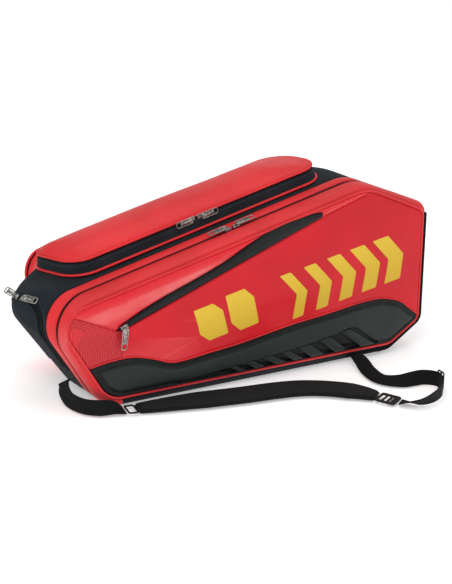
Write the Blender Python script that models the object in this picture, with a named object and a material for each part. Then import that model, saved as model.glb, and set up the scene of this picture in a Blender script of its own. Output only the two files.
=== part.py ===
"""Racket tournament bag: a wedge-shaped soft case lying on its padded back, with two zipped
main shells, a raised top pocket, a shoe pocket in the narrow end and two shoulder straps.

Axes: X runs along the bag, from the narrow shoe end to the wide end. Y runs across it, and the
front shell faces -Y. Z is up, and the flat underside lies at Z = 0. All sizes are in metres.
"""

import math

import bmesh
import bpy
from mathutils import Matrix, Vector

# ---------------------------------------------------------------- driving dimensions
SKIN = 0.0025            # laminated fabric with its foam
GAP = 0.0004             # between neighbouring pieces
SEAM_GAP = 0.0013        # where two skins meet at an angle
PIPING_Y = 0.1213        # where each shell's side band meets its big panel
BULGE_Y = 0.100          # where the side band is fullest
ZIP_Y = 0.0830           # middle of a main zip
ZIP_HALF = 0.0015
COIL_SLACK = 0.0003
GUSSET_Y = 0.0634        # edge of the black centre gusset
PANEL_T = 0.0035
DIVIDER_START_X = -0.172
PIPING_R = 0.0019
ARMOUR_T = 0.0052
GUARD_T = 0.0027

# Corners of the side outline as (x, z, fillet radius), from the bottom left, clockwise as
# seen from the front: bottom left, tip, peak, top right, right, bottom right.
EDGE_OUTLINE = [(-0.266, 0.0205, 0.050), (-0.366, 0.168, 0.035), (0.2275, 0.303, 0.080),
                (0.3525, 0.2506, 0.018), (0.3595, 0.0567, 0.016), (0.300, 0.0205, 0.030)]
BULGE_OUTLINE = [(-0.262, 0.0, 0.060), (-0.3770, 0.1715, 0.060), (0.230, 0.3095, 0.080),
                 (0.3685, 0.2565, 0.020), (0.375, 0.050, 0.020), (0.300, 0.0, 0.030)]
CROWN_OUTLINE = [(-0.258, 0.0, 0.060), (-0.3985, 0.1738, 0.033), (0.2182, 0.3149, 0.080),
                 (0.371, 0.251, 0.022), (0.377, 0.050, 0.022), (0.302, 0.0, 0.030)]
ARC_STEPS = [4, 6, 3, 3, 3, 2]
RUN_STEPS = [3, 8, 2, 3, 1, 5]
GUSSET_ROWS = [-GUSSET_Y, -0.050, -0.035, -0.020, -0.006, 0.006, 0.018, 0.030, 0.045, GUSSET_Y]

# Behind the middle plane the narrow end draws back and the wide end's top falls away.
WIDE_END = 0.377
BODY_LENGTH = 0.753
SET_BACK = 0.70
SET_BACK_EASE = 0.15
TOP_FALL = 0.29
TOP_FALL_EASE = 0.30
FALL_START, FALL_END = 0.15, 0.24
TURN_SPAN = 0.012
# The narrow end swells between the main zips.
NOSE_Y = 0.0835
NOSE_POWER = 1.6

# The sloped top: a frame whose u runs up the slope, h square to it.
TOP_RISE = 0.228
TOP_LINE_Z = 0.2511
TOP_SLOPE = math.atan2(TOP_RISE, 1.0)
TOP_ORIGIN = Vector((0.0, 0.0, TOP_LINE_Z))
TOP_U = Vector((math.cos(TOP_SLOPE), 0.0, math.sin(TOP_SLOPE)))
TOP_N = Vector((-math.sin(TOP_SLOPE), 0.0, math.cos(TOP_SLOPE)))
POCKET_U = (-0.288, 0.2070)
POCKET_SKEW = 0.028
POCKET_HALF = 0.052
POCKET_BASE_H = 0.0140
POCKET_RIM_H = 0.0330
LID_EDGE_H = 0.0370
LID_CROWN = 0.0210
LID_WIDE_DROP = 0.42
LID_NARROW_DROP = 0.14
LID_INSET = 0.0035

# Shoe pocket: an arched flap in the narrow end over a lined tunnel.
ARCH_MID = -0.015
ARCH_HALF = 0.040
ARCH_TOP = 0.172
ARCH_FOOT = 0.056
ARCH_R = 0.034

WEBBING_W = 0.025
WEBBING_T = 0.0022
PAD_W = 0.058
PAD_T = 0.0115
GLIDE_STEP = 12
SHELL_HINGE_X, SHELL_HINGE_Y, SHELL_HINGE_Z = 0.02, 0.1225, 0.019
FLAP_HINGE = (-0.31, 0.0, 0.0592)
RING_BAR_X = -0.00725
LOCK_BAR_X = -0.0165

RED = (0.70, 0.022, 0.032)
CORAL = (0.76, 0.040, 0.045)
BLACK = (0.028, 0.034, 0.038)
CHARCOAL = (0.020, 0.026, 0.026)
STEEL = (0.45, 0.45, 0.43)


# ---------------------------------------------------------------- small tools
def clear_scene():
    for obj in list(bpy.data.objects):
        bpy.data.objects.remove(obj, do_unlink=True)


def paint(obj, colour, roughness, metallic=0.0):
    mat = bpy.data.materials.new(obj.name)
    mat.use_nodes = True
    shader = mat.node_tree.nodes["Principled BSDF"]
    shader.inputs["Base Color"].default_value = (*colour, 1.0)
    shader.inputs["Roughness"].default_value = roughness
    shader.inputs["Metallic"].default_value = metallic
    obj.data.materials.clear()
    obj.data.materials.append(mat)
    return obj


def mesh_object(name, verts, faces, origin=(0, 0, 0)):
    """A mesh from world points, with its object origin at the given place."""
    base = Vector(origin)
    mesh = bpy.data.meshes.new(name)
    mesh.from_pydata([Vector(v) - base for v in verts], [], faces)
    bm = bmesh.new()
    bm.from_mesh(mesh)
    bmesh.ops.recalc_face_normals(bm, faces=bm.faces)
    bm.to_mesh(mesh)
    bm.free()
    obj = bpy.data.objects.new(name, mesh)
    obj.location = base
    bpy.context.scene.collection.objects.link(obj)
    return obj


def solidify(obj, thickness, offset=-1.0):
    mod = obj.modifiers.new("thickness", 'SOLIDIFY')
    mod.thickness = thickness
    mod.offset = offset
    mod.use_even_offset = True
    return obj


def cut(obj, cutter, operation):
    mod = obj.modifiers.new(operation.lower(), 'BOOLEAN')
    mod.object = cutter
    mod.operation = operation
    mod.solver = 'EXACT'
    cutter.hide_render = True
    cutter.display_type = 'WIRE'
    return obj


def on_axis(name, place, *objs):
    """Hangs moving pieces from an empty that stands on their joint's axis."""
    bpy.context.view_layer.update()
    pivot = bpy.data.objects.new(name, None)
    pivot.matrix_world = place
    bpy.context.scene.collection.objects.link(pivot)
    for obj in objs:
        world = obj.matrix_world.copy()
        obj.parent = pivot
        obj.matrix_parent_inverse = place.inverted()
        obj.matrix_world = world


def grid_faces(rows, cols, skip=()):
    """Quads of a rows x cols grid of points; skip holds (row, column) cells left open."""
    return [(r * cols + c, r * cols + c + 1, (r + 1) * cols + c + 1, (r + 1) * cols + c)
            for r in range(rows - 1) for c in range(cols - 1) if (r, c) not in skip]


# ---------------------------------------------------------------- outlines
def fillet(corners, arc_steps, run_steps):
    """Points round a closed outline of (a, b, radius) corners, plus where each arc starts."""
    count = len(corners)
    points, starts = [], []
    tangents = []
    for i in range(count):
        prev, here, nxt = (Vector(corners[j % count][:2]) for j in (i - 1, i, i + 1))
        radius = corners[i][2]
        to_prev, to_next = (prev - here).normalized(), (nxt - here).normalized()
        half = to_prev.angle(to_next) / 2
        reach = radius / math.tan(half)
        centre = here + (to_prev + to_next).normalized() * radius / math.sin(half)
        tangents.append((here + to_prev * reach, here + to_next * reach, centre, radius))
    for i, (first, last, centre, radius) in enumerate(tangents):
        starts.append(len(points))
        arm, end = first - centre, last - centre
        turn = arm.angle_signed(end)
        for k in range(arc_steps[i] + 1):
            spin = Matrix.Rotation(-turn * k / arc_steps[i], 2)
            points.append(centre + spin @ arm)
        following = tangents[(i + 1) % count][0]
        for k in range(1, run_steps[i]):
            points.append(last.lerp(following, k / run_steps[i]))
    return points, starts


def blend_corners(first, second, shares):
    return [tuple(a + (b - a) * share for a, b in zip(p, q))
            for p, q, share in zip(first, second, shares)]


def ease(value, low, high):
    t = min(1.0, max(0.0, (value - low) / (high - low)))
    return t * t * (3 - 2 * t)


def turned(y):
    """0 well in front of the middle plane, and y well behind it."""
    return (y + math.hypot(y, TURN_SPAN)) / 2


def draw_back(y):
    """How far the narrow end lies behind where it is at the front."""
    return SET_BACK * turned(y) * (1 - SET_BACK_EASE * (y / PIPING_Y) ** 2)


def fallen(p, y):
    """An outline point (x, z) moved to where station y has it."""
    back = draw_back(y) * (WIDE_END - p.x) / BODY_LENGTH
    share = min(1.0, p.y / (TOP_LINE_Z + TOP_RISE * p.x))
    drop = TOP_FALL * turned(y) * (1 - TOP_FALL_EASE * (y / PIPING_Y) ** 2)
    drop *= ease(p.x, FALL_START, FALL_END)
    return Vector((p.x + back, p.y + (TOP_RISE * back - drop) * share))


def side_ring(y):
    """The bag's outline at a distance y from its middle plane."""
    depth = min(1.0, max(0.0, (PIPING_Y - abs(y)) / (PIPING_Y - BULGE_Y)))
    swell = math.sqrt(1.0 - (1.0 - depth) ** 2)
    crown = max(0.0, 1.0 - (abs(y) / BULGE_Y) ** 2)
    nose = max(0.0, 1.0 - (y / NOSE_Y) ** 2) ** NOSE_POWER
    shares = [crown, nose] + [crown] * 4
    corners = blend_corners(EDGE_OUTLINE, BULGE_OUTLINE, [swell] * 6)
    points, starts = fillet(blend_corners(corners, CROWN_OUTLINE, shares), ARC_STEPS, RUN_STEPS)
    return [fallen(p, y) for p in points], starts


ARC_START = fillet(EDGE_OUTLINE, ARC_STEPS, RUN_STEPS)[1]
ARC_END = [start + steps for start, steps in zip(ARC_START, ARC_STEPS)]
TRAY_LEFT = ARC_START[0]
TRAY_RIGHT = ARC_END[5]
SHOULDER = ARC_END[3]


def end_point(y, z):
    """A point on the narrow end at station y and height z."""
    run = side_ring(y)[0][ARC_START[0]:ARC_END[1] + 2]
    a, b = next((a, b) for a, b in zip(run, run[1:]) if a.y <= z <= b.y)
    return Vector((a.x + (b.x - a.x) * (z - a.y) / (b.y - a.y), y, z))


def stretch(points, first, last):
    """The part of a closed outline between two indices, trimmed to leave a small gap."""
    count = len(points)
    if last <= first:
        last += count
    part = [points[i % count].copy() for i in range(first, last + 1)]
    part[0] += (part[1] - part[0]).normalized() * GAP
    part[-1] += (part[-2] - part[-1]).normalized() * GAP
    return part


def band(name, stations, first, last, thickness=SKIN, lift=0.0):
    """A curved strip of fabric round the outline, between two places, across y stations."""
    rows = [stretch(side_ring(y)[0], first, last) for y in stations]
    cols = len(rows[0])
    verts = []
    for row, y in zip(rows, stations):
        for i, p in enumerate(row):
            along = (row[min(i + 1, cols - 1)] - row[max(i - 1, 0)]).normalized()
            out = Vector((-along.y, along.x))
            verts.append((p.x + out.x * lift, y, p.y + out.y * lift))
    mesh = bpy.data.meshes.new(name)
    mesh.from_pydata(verts, [], grid_faces(len(rows), cols))
    obj = bpy.data.objects.new(name, mesh)
    bpy.context.scene.collection.objects.link(obj)
    return solidify(obj, thickness)


def inset(points, distance):
    """A closed outline moved inwards."""
    count = len(points)
    moved = []
    for i, p in enumerate(points):
        along = (points[(i + 1) % count] - points[i - 1]).normalized()
        moved.append(p - Vector((-along.y, along.x)) * distance)
    return moved


def slab(name, outline, y_out, y_in, origin=(0, 0, 0)):
    """A flat plate of the given (x, z) outline between two y planes."""
    count = len(outline)
    verts = [(p[0], y, p[1]) for y in (y_out, y_in) for p in outline]
    faces = [tuple(range(count)), tuple(range(2 * count - 1, count - 1, -1))]
    faces += [(i, (i + 1) % count, count + (i + 1) % count, count + i) for i in range(count)]
    return mesh_object(name, verts, faces, origin)


def cord_ring(name, centres, normals_in_plane, axis, radius, sides=6):
    """A closed round cord through the centres, each with its own outward direction."""
    verts, faces = [], []
    count = len(centres)
    for centre, out in zip(centres, normals_in_plane):
        for k in range(sides):
            angle = 2 * math.pi * k / sides
            verts.append(centre + (out * math.cos(angle) + axis * math.sin(angle)) * radius)
    for i in range(count):
        for k in range(sides):
            a, b = i * sides, ((i + 1) % count) * sides
            faces.append((a + k, a + (k + 1) % sides, b + (k + 1) % sides, b + k))
    return mesh_object(name, verts, faces)


def outward(points):
    count = len(points)
    result = []
    for i in range(count):
        along = (points[(i + 1) % count] - points[i - 1]).normalized()
        result.append(Vector((-along.y, along.x)))
    return result


# ---------------------------------------------------------------- carcass
def carcass():
    inner = [GUSSET_Y + SEAM_GAP, 0.073, ZIP_Y - ZIP_HALF - GAP]
    zip_rows = [ZIP_Y - ZIP_HALF + COIL_SLACK, ZIP_Y + ZIP_HALF - COIL_SLACK]
    edge_rows = [PIPING_Y, 0.1195, 0.115, 0.108, BULGE_Y, ZIP_Y]
    tray_rows = [-y for y in edge_rows] + GUSSET_ROWS + edge_rows[::-1]
    paint(band("base_tray", tray_rows, TRAY_RIGHT, TRAY_LEFT), BLACK, 0.8)
    for side, name in ((-1, "front"), (1, "back")):
        rows = sorted(side * y for y in inner)
        paint(band(name + "_inner_band", rows, TRAY_LEFT, TRAY_RIGHT), CORAL, 0.55)
        rows = sorted(side * y for y in zip_rows)
        coil = band(name + "_zip_coil", rows, TRAY_LEFT + 3, TRAY_RIGHT - 3, 0.0026, 0.0004)
        paint(coil, BLACK, 0.5)
    gusset = band("centre_gusset", GUSSET_ROWS, TRAY_LEFT, TRAY_RIGHT)
    cut(gusset, arch_prism("arch_opening", 0.0), 'DIFFERENCE')
    paint(gusset, BLACK, 0.85)
    divider_panel()
    shoe_liner()


def divider_panel():
    """The upright partition between the two racket compartments."""
    ring = inset(side_ring(0.0)[0], SKIN + 0.0012)
    outline = [p for p in ring if p.x > DIVIDER_START_X]
    outline.sort(key=lambda p: math.atan2(p.y - 0.12, p.x - 0.05))
    split = max(range(len(outline)),
                key=lambda i: (outline[i] - outline[i - 1]).length)
    outline = outline[split:] + outline[:split]
    paint(slab("divider_panel", outline, -0.001, 0.001), CHARCOAL, 0.8)


def arch_outline(margin, drop):
    """Arched outline (y, z) of the shoe opening, grown by margin, with its foot dropped."""
    half, radius = ARCH_HALF + margin, ARCH_R + margin
    top, foot = ARCH_TOP + margin, ARCH_FOOT - margin - drop
    points = [(ARCH_MID - half, foot)]
    for way, first in ((-1, math.pi), (1, math.pi / 2)):
        for k in range(5):
            angle = first - math.pi / 2 * k / 4
            points.append((ARCH_MID + way * (half - radius) + radius * math.cos(angle),
                           top - radius + radius * math.sin(angle)))
    points.append((ARCH_MID + half, foot))
    return points


def arch_prism(name, margin, drop=0.0):
    """A prism of the arch along X through the narrow end, used only to cut."""
    outline = arch_outline(margin, drop)
    count = len(outline)
    verts = [(x, y, z) for x in (-0.42, -0.245) for y, z in outline]
    faces = [tuple(range(count)), tuple(range(2 * count - 1, count - 1, -1))]
    faces += [(i, (i + 1) % count, count + (i + 1) % count, count + i) for i in range(count)]
    prism = mesh_object(name, verts, faces)
    prism.hide_render = True
    prism.display_type = 'WIRE'
    return prism


def shoe_liner():
    """The shoe tunnel: a tray on its side, open towards the narrow end."""
    half, wall, slack = 0.038, 0.0015, 0.0065
    back_x, floor_z, roof_z = -0.180, 0.058, 0.162
    near, far = ARCH_MID - half, ARCH_MID + half
    outer = [(end_point(near, floor_z).x + slack, near, floor_z),
             (end_point(near, roof_z).x + slack, near, roof_z),
             (end_point(far, roof_z).x + slack, far, roof_z),
             (end_point(far, floor_z).x + slack, far, floor_z),
             (back_x, near, floor_z), (back_x, near, roof_z),
             (back_x, far, roof_z), (back_x, far, floor_z)]
    inner = [(x if i < 4 else x - wall, y + (wall if y < ARCH_MID else -wall),
              z + (wall if z < roof_z - half else -wall)) for i, (x, y, z) in enumerate(outer)]
    verts = outer + inner
    faces = [(0, 1, 5, 4), (1, 2, 6, 5), (2, 3, 7, 6), (3, 0, 4, 7), (4, 5, 6, 7)]
    faces += [tuple(8 + i for i in f[::-1]) for f in faces]
    faces += [(i, (i + 1) % 4, 8 + (i + 1) % 4, 8 + i) for i in range(4)]
    paint(mesh_object("shoe_liner", verts, faces), CHARCOAL, 0.8)


# ---------------------------------------------------------------- main shells
def shell(side, name):
    """One big zipped half: side band, end band, panel, armour, piping and pocket guard."""
    rows = [PIPING_Y - SEAM_GAP, 0.115, 0.108, BULGE_Y, ZIP_Y + ZIP_HALF + GAP]
    rows = sorted(side * y for y in rows)
    paint(band(name + "_band", rows, TRAY_LEFT, SHOULDER), CORAL, 0.5)
    paint(band(name + "_end_band", rows, SHOULDER, TRAY_RIGHT), BLACK, 0.8)
    edge = side_ring(PIPING_Y)[0]
    y_in = PIPING_Y + 0.0005
    y_out = y_in + PANEL_T
    plate = inset(edge, PIPING_R + 0.0003)
    paint(slab(name + "_panel", plate, side * y_out, side * y_in), RED, 0.3)
    cord_y = side * (y_in + PIPING_R)
    centres = [Vector((p.x, cord_y, p.y)) for p in edge]
    outs = [Vector((n.x, 0, n.y)) for n in outward(edge)]
    piping = cord_ring(name + "_piping", centres, outs, Vector((0, 1, 0)), PIPING_R)
    paint(piping, CORAL, 0.4)
    face = y_out + 0.0003
    outline = armour_outline(edge, side * PIPING_Y)
    armour = slab(name + "_armour", outline, side * (face + ARMOUR_T), side * face)
    paint(armour, CHARCOAL, 0.45)
    outline = guard_outline(side * PIPING_Y)
    guard = slab(name + "_pocket_guard", outline, side * (face + GUARD_T), side * face)
    paint(guard, CHARCOAL, 0.6)
    pieces = [bpy.data.objects[name + part] for part in
              ("_band", "_end_band", "_panel", "_piping", "_armour", "_pocket_guard")]
    hinge = Vector((SHELL_HINGE_X, side * SHELL_HINGE_Y, SHELL_HINGE_Z))
    on_axis(name + "_shell_pivot", Matrix.Translation(hinge), *pieces)


def armour_outline(edge, y):
    """The moulded lower panel: a stepped, rising top edge over the shell's lower outline."""
    top = [(-0.45, 0.0785, 0.01), (-0.228, 0.0885, 0.050), (-0.150, 0.0600, 0.050),
           (0.280, 0.1095, 0.050), (0.400, 0.0480, 0.01), (0.400, -0.2, 0.01),
           (-0.45, -0.2, 0.01)]
    curve = fillet(top, [1, 4, 4, 5, 1, 1, 1], [1] * 7)[0][2:18]
    curve = [fallen(p, y) for p in curve]
    lower = inset(edge, 0.0055)

    def height(x):
        for a, b in zip(curve, curve[1:]):
            if a.x <= x <= b.x:
                return a.y + (b.y - a.y) * (x - a.x) / (b.x - a.x)
        return curve[-1].y if x > 0 else curve[0].y

    under = [p for p in lower if p.y < height(p.x) - 0.004]
    under.sort(key=lambda p: math.atan2(p.y - 0.09, p.x))
    left, right = under[0].x, under[-1].x
    over = [p for p in curve if left + 0.002 < p.x < right - 0.002]
    return under + [Vector((right, height(right)))] + over[::-1] + [Vector((left, height(left)))]


def guard_outline(y):
    """The dark strip along the slanting pocket zip: straight below, bellied above."""
    foot, head = Vector((-0.246, 0.132)), Vector((0.136, 0.267))
    lower = [foot, head]
    upper = [(0.134, 0.276), (0.100, 0.2735), (0.066, 0.2675), (0.033, 0.2595),
             (0.000, 0.2450), (-0.028, 0.2290), (-0.086, 0.2045), (-0.150, 0.1840),
             (-0.214, 0.1585), (-0.244, 0.1430), (-0.256, 0.1335)]
    return [fallen(Vector(p), y) for p in lower + upper]


# ---------------------------------------------------------------- top pocket
def top_point(u, v, h):
    """A place over the sloped top. The pocket leans towards the narrow end at its back."""
    lean = POCKET_SKEW * (v + POCKET_HALF) / (2 * POCKET_HALF)
    return TOP_ORIGIN + TOP_U * (u - lean) + Vector((0, v, 0)) + TOP_N * h


def pocket_outline(shrink):
    """Rounded outline (u, v) of the top pocket, tighter at the narrow end."""
    low, high = POCKET_U[0] + shrink, POCKET_U[1] - shrink
    half = POCKET_HALF - shrink
    narrow, wide = 0.034 - shrink, 0.046 - shrink
    corners = [(low, -half, narrow), (low, half, narrow), (high, half, wide), (high, -half, wide)]
    return fillet(corners, [4, 4, 5, 5], [1, 6, 1, 6])[0]


def wall_ring(name, levels, thickness, colour, roughness):
    """An upright wall round the pocket from (shrink, height) levels."""
    rings = [pocket_outline(shrink) for shrink, _ in levels]
    count = len(rings[0])
    verts = [top_point(p.x, p.y, h) for ring, (_, h) in zip(rings, levels) for p in ring]
    faces = [(r * count + i, r * count + (i + 1) % count,
              (r + 1) * count + (i + 1) % count, (r + 1) * count + i)
             for r in range(len(levels) - 1) for i in range(count)]
    mesh = bpy.data.meshes.new(name)
    mesh.from_pydata(verts, [], [f[::-1] for f in faces])
    obj = bpy.data.objects.new(name, mesh)
    bpy.context.scene.collection.objects.link(obj)
    return paint(solidify(obj, thickness), colour, roughness)


def top_pocket():
    wall_ring("top_pocket_wall", [(0.0, POCKET_BASE_H), (0.0025, POCKET_RIM_H)], SKIN, BLACK, 0.8)
    coil_h = POCKET_RIM_H + GAP
    wall_ring("top_zip_coil", [(0.0022, coil_h), (0.0022, LID_EDGE_H - GAP)], 0.003, BLACK, 0.5)
    outline = pocket_outline(0.0)
    centres = [top_point(p.x + n.x * (PIPING_R + GAP), p.y + n.y * (PIPING_R + GAP),
                         POCKET_BASE_H + PIPING_R * 0.6)
               for p, n in zip(outline, outward(outline))]
    outs = [(TOP_U * n.x + Vector((0, n.y, 0))).normalized() for n in outward(outline)]
    piping = cord_ring("top_pocket_piping", centres, outs, TOP_N, PIPING_R)
    paint(piping, CORAL, 0.4)
    top_lid()


def lid_hinge():
    return top_point(0.0, POCKET_HALF - LID_INSET, LID_EDGE_H)


def top_lid():
    """The crowned red lid, a shell that is open below."""
    half = POCKET_HALF - LID_INSET
    outline = pocket_outline(LID_INSET)
    middle = (POCKET_U[0] + POCKET_U[1]) / 2
    steps = [(1.0, 0.0), (0.996, 0.14), (0.965, 0.32), (0.86, 0.58), (0.68, 0.80), (0.46, 0.94),
             (0.22, 1.0)]
    verts = []
    for s, share in steps:
        for p in outline:
            pull = math.copysign(min((1.0 - s) * half, abs(p.x - middle)), p.x - middle)
            u = p.x - pull
            crown = LID_CROWN * (1 - LID_WIDE_DROP * ease(u, 0.06, 0.19)
                                 - LID_NARROW_DROP * (1 - ease(u, -0.30, -0.19)))
            verts.append(top_point(u, p.y * s, LID_EDGE_H + crown * share))
    count = len(outline)
    faces = [(r * count + i, r * count + (i + 1) % count,
              (r + 1) * count + (i + 1) % count, (r + 1) * count + i)
             for r in range(len(steps) - 1) for i in range(count)]
    faces.append(tuple(range((len(steps) - 1) * count, len(steps) * count)))
    hinge = lid_hinge()
    mesh = bpy.data.meshes.new("top_lid")
    mesh.from_pydata([v - hinge for v in verts], [], [f[::-1] for f in faces])
    obj = bpy.data.objects.new("top_lid", mesh)
    obj.location = hinge
    bpy.context.scene.collection.objects.link(obj)
    paint(solidify(obj, SKIN), RED, 0.35)


# ---------------------------------------------------------------- shoe flap
def shoe_flap():
    """The arched flap cut from the same curved skin as the gusset, and its zip."""
    flap = band("shoe_flap", GUSSET_ROWS, TRAY_LEFT, ARC_END[1] + 1)
    cut(flap, arch_prism("flap_shape", -0.0032), 'INTERSECT')
    paint(flap, BLACK, 0.85)
    on_axis("shoe_flap_pivot", Matrix.Translation(Vector(FLAP_HINGE)), flap)
    coil = band("shoe_zip_coil", GUSSET_ROWS, TRAY_LEFT, ARC_END[1] + 1, 0.003)
    cut(coil, arch_prism("coil_outside", -0.0004), 'INTERSECT')
    cut(coil, arch_prism("coil_inside", -0.0028, drop=0.01), 'DIFFERENCE')
    paint(coil, BLACK, 0.5)


# ---------------------------------------------------------------- zip sliders and pulls
def placed(origin, along, out):
    """A matrix whose x runs along the zip and whose z points out of the fabric."""
    x = Vector(along).normalized()
    z = (Vector(out) - x * Vector(out).dot(x)).normalized()
    turn = Matrix((x, z.cross(x), z)).transposed().to_4x4()
    return Matrix.Translation(Vector(origin)) @ turn


def slider(name, place, lift):
    """A slider body over the zip, 13 x 8 mm, narrowed at both ends."""
    bm = bmesh.new()
    bmesh.ops.create_cube(bm, size=1.0)
    bmesh.ops.scale(bm, vec=(0.013, 0.0080, 0.0034), verts=bm.verts)
    bmesh.ops.translate(bm, vec=(0, 0, lift + 0.0017), verts=bm.verts)
    edges = [e for e in bm.edges if abs((e.verts[0].co - e.verts[1].co).normalized().z) > 0.9]
    bmesh.ops.bevel(bm, geom=edges, offset=0.0025, segments=2, affect='EDGES', profile=0.5)
    mesh = bpy.data.meshes.new(name)
    bm.to_mesh(mesh)
    bm.free()
    obj = bpy.data.objects.new(name, mesh)
    obj.matrix_world = place
    bpy.context.scene.collection.objects.link(obj)
    return paint(obj, STEEL, 0.35, 1.0)


def slotted_plate(name, xs, ys, holes, thickness, place):
    """A plate of grid lines xs by ys with some cells left open."""
    verts = [(x, y, -thickness / 2) for y in ys for x in xs]
    mesh = bpy.data.meshes.new(name)
    mesh.from_pydata(verts, [], grid_faces(len(ys), len(xs), holes))
    obj = bpy.data.objects.new(name, mesh)
    obj.matrix_world = place
    bpy.context.scene.collection.objects.link(obj)
    return solidify(obj, thickness, offset=1.0)


def pull_tab(name, place, lift, length):
    """A pull that turns on the slider: a long tab with an open window at its far end."""
    axis = place @ Matrix.Translation((0.0015, 0, lift + 0.0034 + 0.0016))
    xs = [-0.0008, 0.003, length * 0.62, length - 0.0022, length]
    ys = [-0.0050, -0.0030, 0.0030, 0.0050]
    tab = slotted_plate(name, xs, ys, {(1, 2)}, 0.0016, axis)
    return paint(tab, STEEL, 0.35, 1.0)


def zip_set(name, origin, along, out, lift=0.0016, length=0.034):
    place = placed(origin, along, out)
    slider(name + "_slider", place, lift)
    pull_tab(name + "_pull", place, lift, length)


def top_edge_point(x, y):
    """A point on the sloped top at station y."""
    run = side_ring(y)[0][ARC_END[1]:ARC_START[2] + 1]
    a, b = next((a, b) for a, b in zip(run, run[1:]) if a.x <= x <= b.x)
    return Vector((x, y, a.y + (b.y - a.y) * (x - a.x) / (b.x - a.x)))


def top_edge_frame(x, y):
    """The same point, with the directions up the slope and out of the fabric."""
    step = 0.001
    along = top_edge_point(x + step, y) - top_edge_point(x - step, y)
    across = top_edge_point(x, y + step) - top_edge_point(x, y - step)
    return top_edge_point(x, y), along, along.cross(across)


MAIN_ZIP_X = -0.016
POCKET_ZIP_U = -0.058
SLIDER_STEP = 0.0085
POCKET_ZIP_LINE = [(-0.2440, 0.1390), (0.0389, 0.2389)]
POCKET_PULL_WAY = (-0.06, 0, -1)
SHOE_ZIP_Z = 0.1706
SHOE_ZIP_OUT = (-0.74, 0, 0.67)


def zips():
    for side, name in ((-1, "front"), (1, "back")):
        for way, end in ((-1, "left"), (1, "right")):
            origin, along, out = top_edge_frame(MAIN_ZIP_X + way * SLIDER_STEP, side * ZIP_Y)
            zip_set(f"{name}_main_{end}", origin, along * way, out)
        face = PIPING_Y + 0.0005 + PANEL_T + 0.0003 + GUARD_T
        first, further = [fallen(Vector(p), side * PIPING_Y) for p in POCKET_ZIP_LINE]
        origin = Vector((first.x, side * face, first.y))
        along = Vector((further.x - first.x, 0, further.y - first.y))
        pocket_zip(name, origin, along, (0, side, 0))
    for way, end in ((-1, "left"), (1, "right")):
        origin = top_point(POCKET_ZIP_U + way * SLIDER_STEP, -POCKET_HALF + 0.0022,
                           (POCKET_RIM_H + LID_EDGE_H) / 2)
        zip_set(f"top_pocket_{end}", origin, TOP_U * way, (0, -1, 0), 0.0012, 0.030)
        y = ARCH_MID + way * SLIDER_STEP
        origin = end_point(y, SHOE_ZIP_Z)
        along = end_point(y + SLIDER_STEP / 2, SHOE_ZIP_Z) - end_point(y - SLIDER_STEP / 2,
                                                                      SHOE_ZIP_Z)
        zip_set(f"shoe_{end}", origin, along * way, SHOE_ZIP_OUT, 0.0016, 0.026)


def pocket_zip(name, origin, along, out):
    """The slanting pocket's slider, with its pull hanging straight down."""
    slider(name + "_pocket_slider", placed(origin, along, out), 0.0005)
    pull_tab(name + "_pocket_pull", placed(origin, POCKET_PULL_WAY, out), 0.0005, 0.034)


# ---------------------------------------------------------------- straps
def smooth_route(points, steps):
    """A Catmull-Rom curve through (x, y, z, roll) points."""
    rows = [Vector(p) for p in points]
    rows = [2 * rows[0] - rows[1]] + rows + [2 * rows[-1] - rows[-2]]
    result = []
    for i in range(1, len(rows) - 2):
        a, b, c, d = rows[i - 1:i + 3]
        for k in range(steps):
            t = k / steps
            result.append(0.5 * ((2 * b) + (c - a) * t + (2 * a - 5 * b + 4 * c - d) * t * t
                                 + (3 * b - a - 3 * c + d) * t ** 3))
    result.append(rows[-2])
    return result


def ribbon(name, route, width, thickness, colour):
    """Flat webbing along a route; roll turns its width from level (0) to upright (90)."""
    verts, faces = [], []
    for i, p in enumerate(route):
        ahead = (route[min(i + 1, len(route) - 1)] - route[max(i - 1, 0)]).to_3d()
        ahead.normalize()
        level = ahead.cross(Vector((0, 0, 1))).normalized()
        across = Matrix.Rotation(math.radians(p[3]), 3, ahead) @ level
        up = across.cross(ahead).normalized()
        wide = width(i / (len(route) - 1)) / 2
        for a, b in ((-1, -1), (1, -1), (1, 1), (-1, 1)):
            verts.append(p.to_3d() + across * wide * a + up * thickness / 2 * b)
    last = len(verts) - 4
    for r in range(0, last, 4):
        faces += [(r + k, r + (k + 1) % 4, r + 4 + (k + 1) % 4, r + 4 + k) for k in range(4)]
    faces += [(3, 2, 1, 0), (last, last + 1, last + 2, last + 3)]
    return paint(mesh_object(name, verts, faces), colour, 0.85)


FRONT_TAIL = [(-0.3010, -0.050, 0.0330, 40), (-0.3090, -0.062, 0.0250, 60),
              (-0.3120, -0.085, 0.0160, 75), (-0.3060, -0.116, 0.0150, 80),
              (-0.2880, -0.134, 0.0150, 70), (-0.2650, -0.137, 0.0130, 40),
              (-0.2460, -0.140, 0.0060, 8)]
FRONT_PAD = [(-0.2230, -0.146, 0.0065, 0), (-0.130, -0.1600, 0.0065, 0),
             (-0.045, -0.1760, 0.0065, 0), (0.020, -0.1860, 0.0065, 0),
             (0.062, -0.1980, 0.0065, 0), (0.098, -0.2200, 0.0065, 0),
             (0.126, -0.2480, 0.0065, 0), (0.146, -0.2800, 0.0065, 0)]
FRONT_LEAD = [(0.1660, -0.3180, 0.0050, 0), (0.1850, -0.3420, 0.0100, -40),
              (0.2150, -0.3440, 0.0150, -75), (0.2480, -0.3250, 0.0160, -88),
              (0.2690, -0.2920, 0.0160, -88), (0.2560, -0.2660, 0.0140, -70),
              (0.2200, -0.2540, 0.0100, -35), (0.1990, -0.2280, 0.0080, -20),
              (0.2040, -0.1900, 0.0080, -20), (0.2200, -0.1500, 0.0100, -10),
              (0.2300, -0.1245, 0.0100, 0)]
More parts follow.
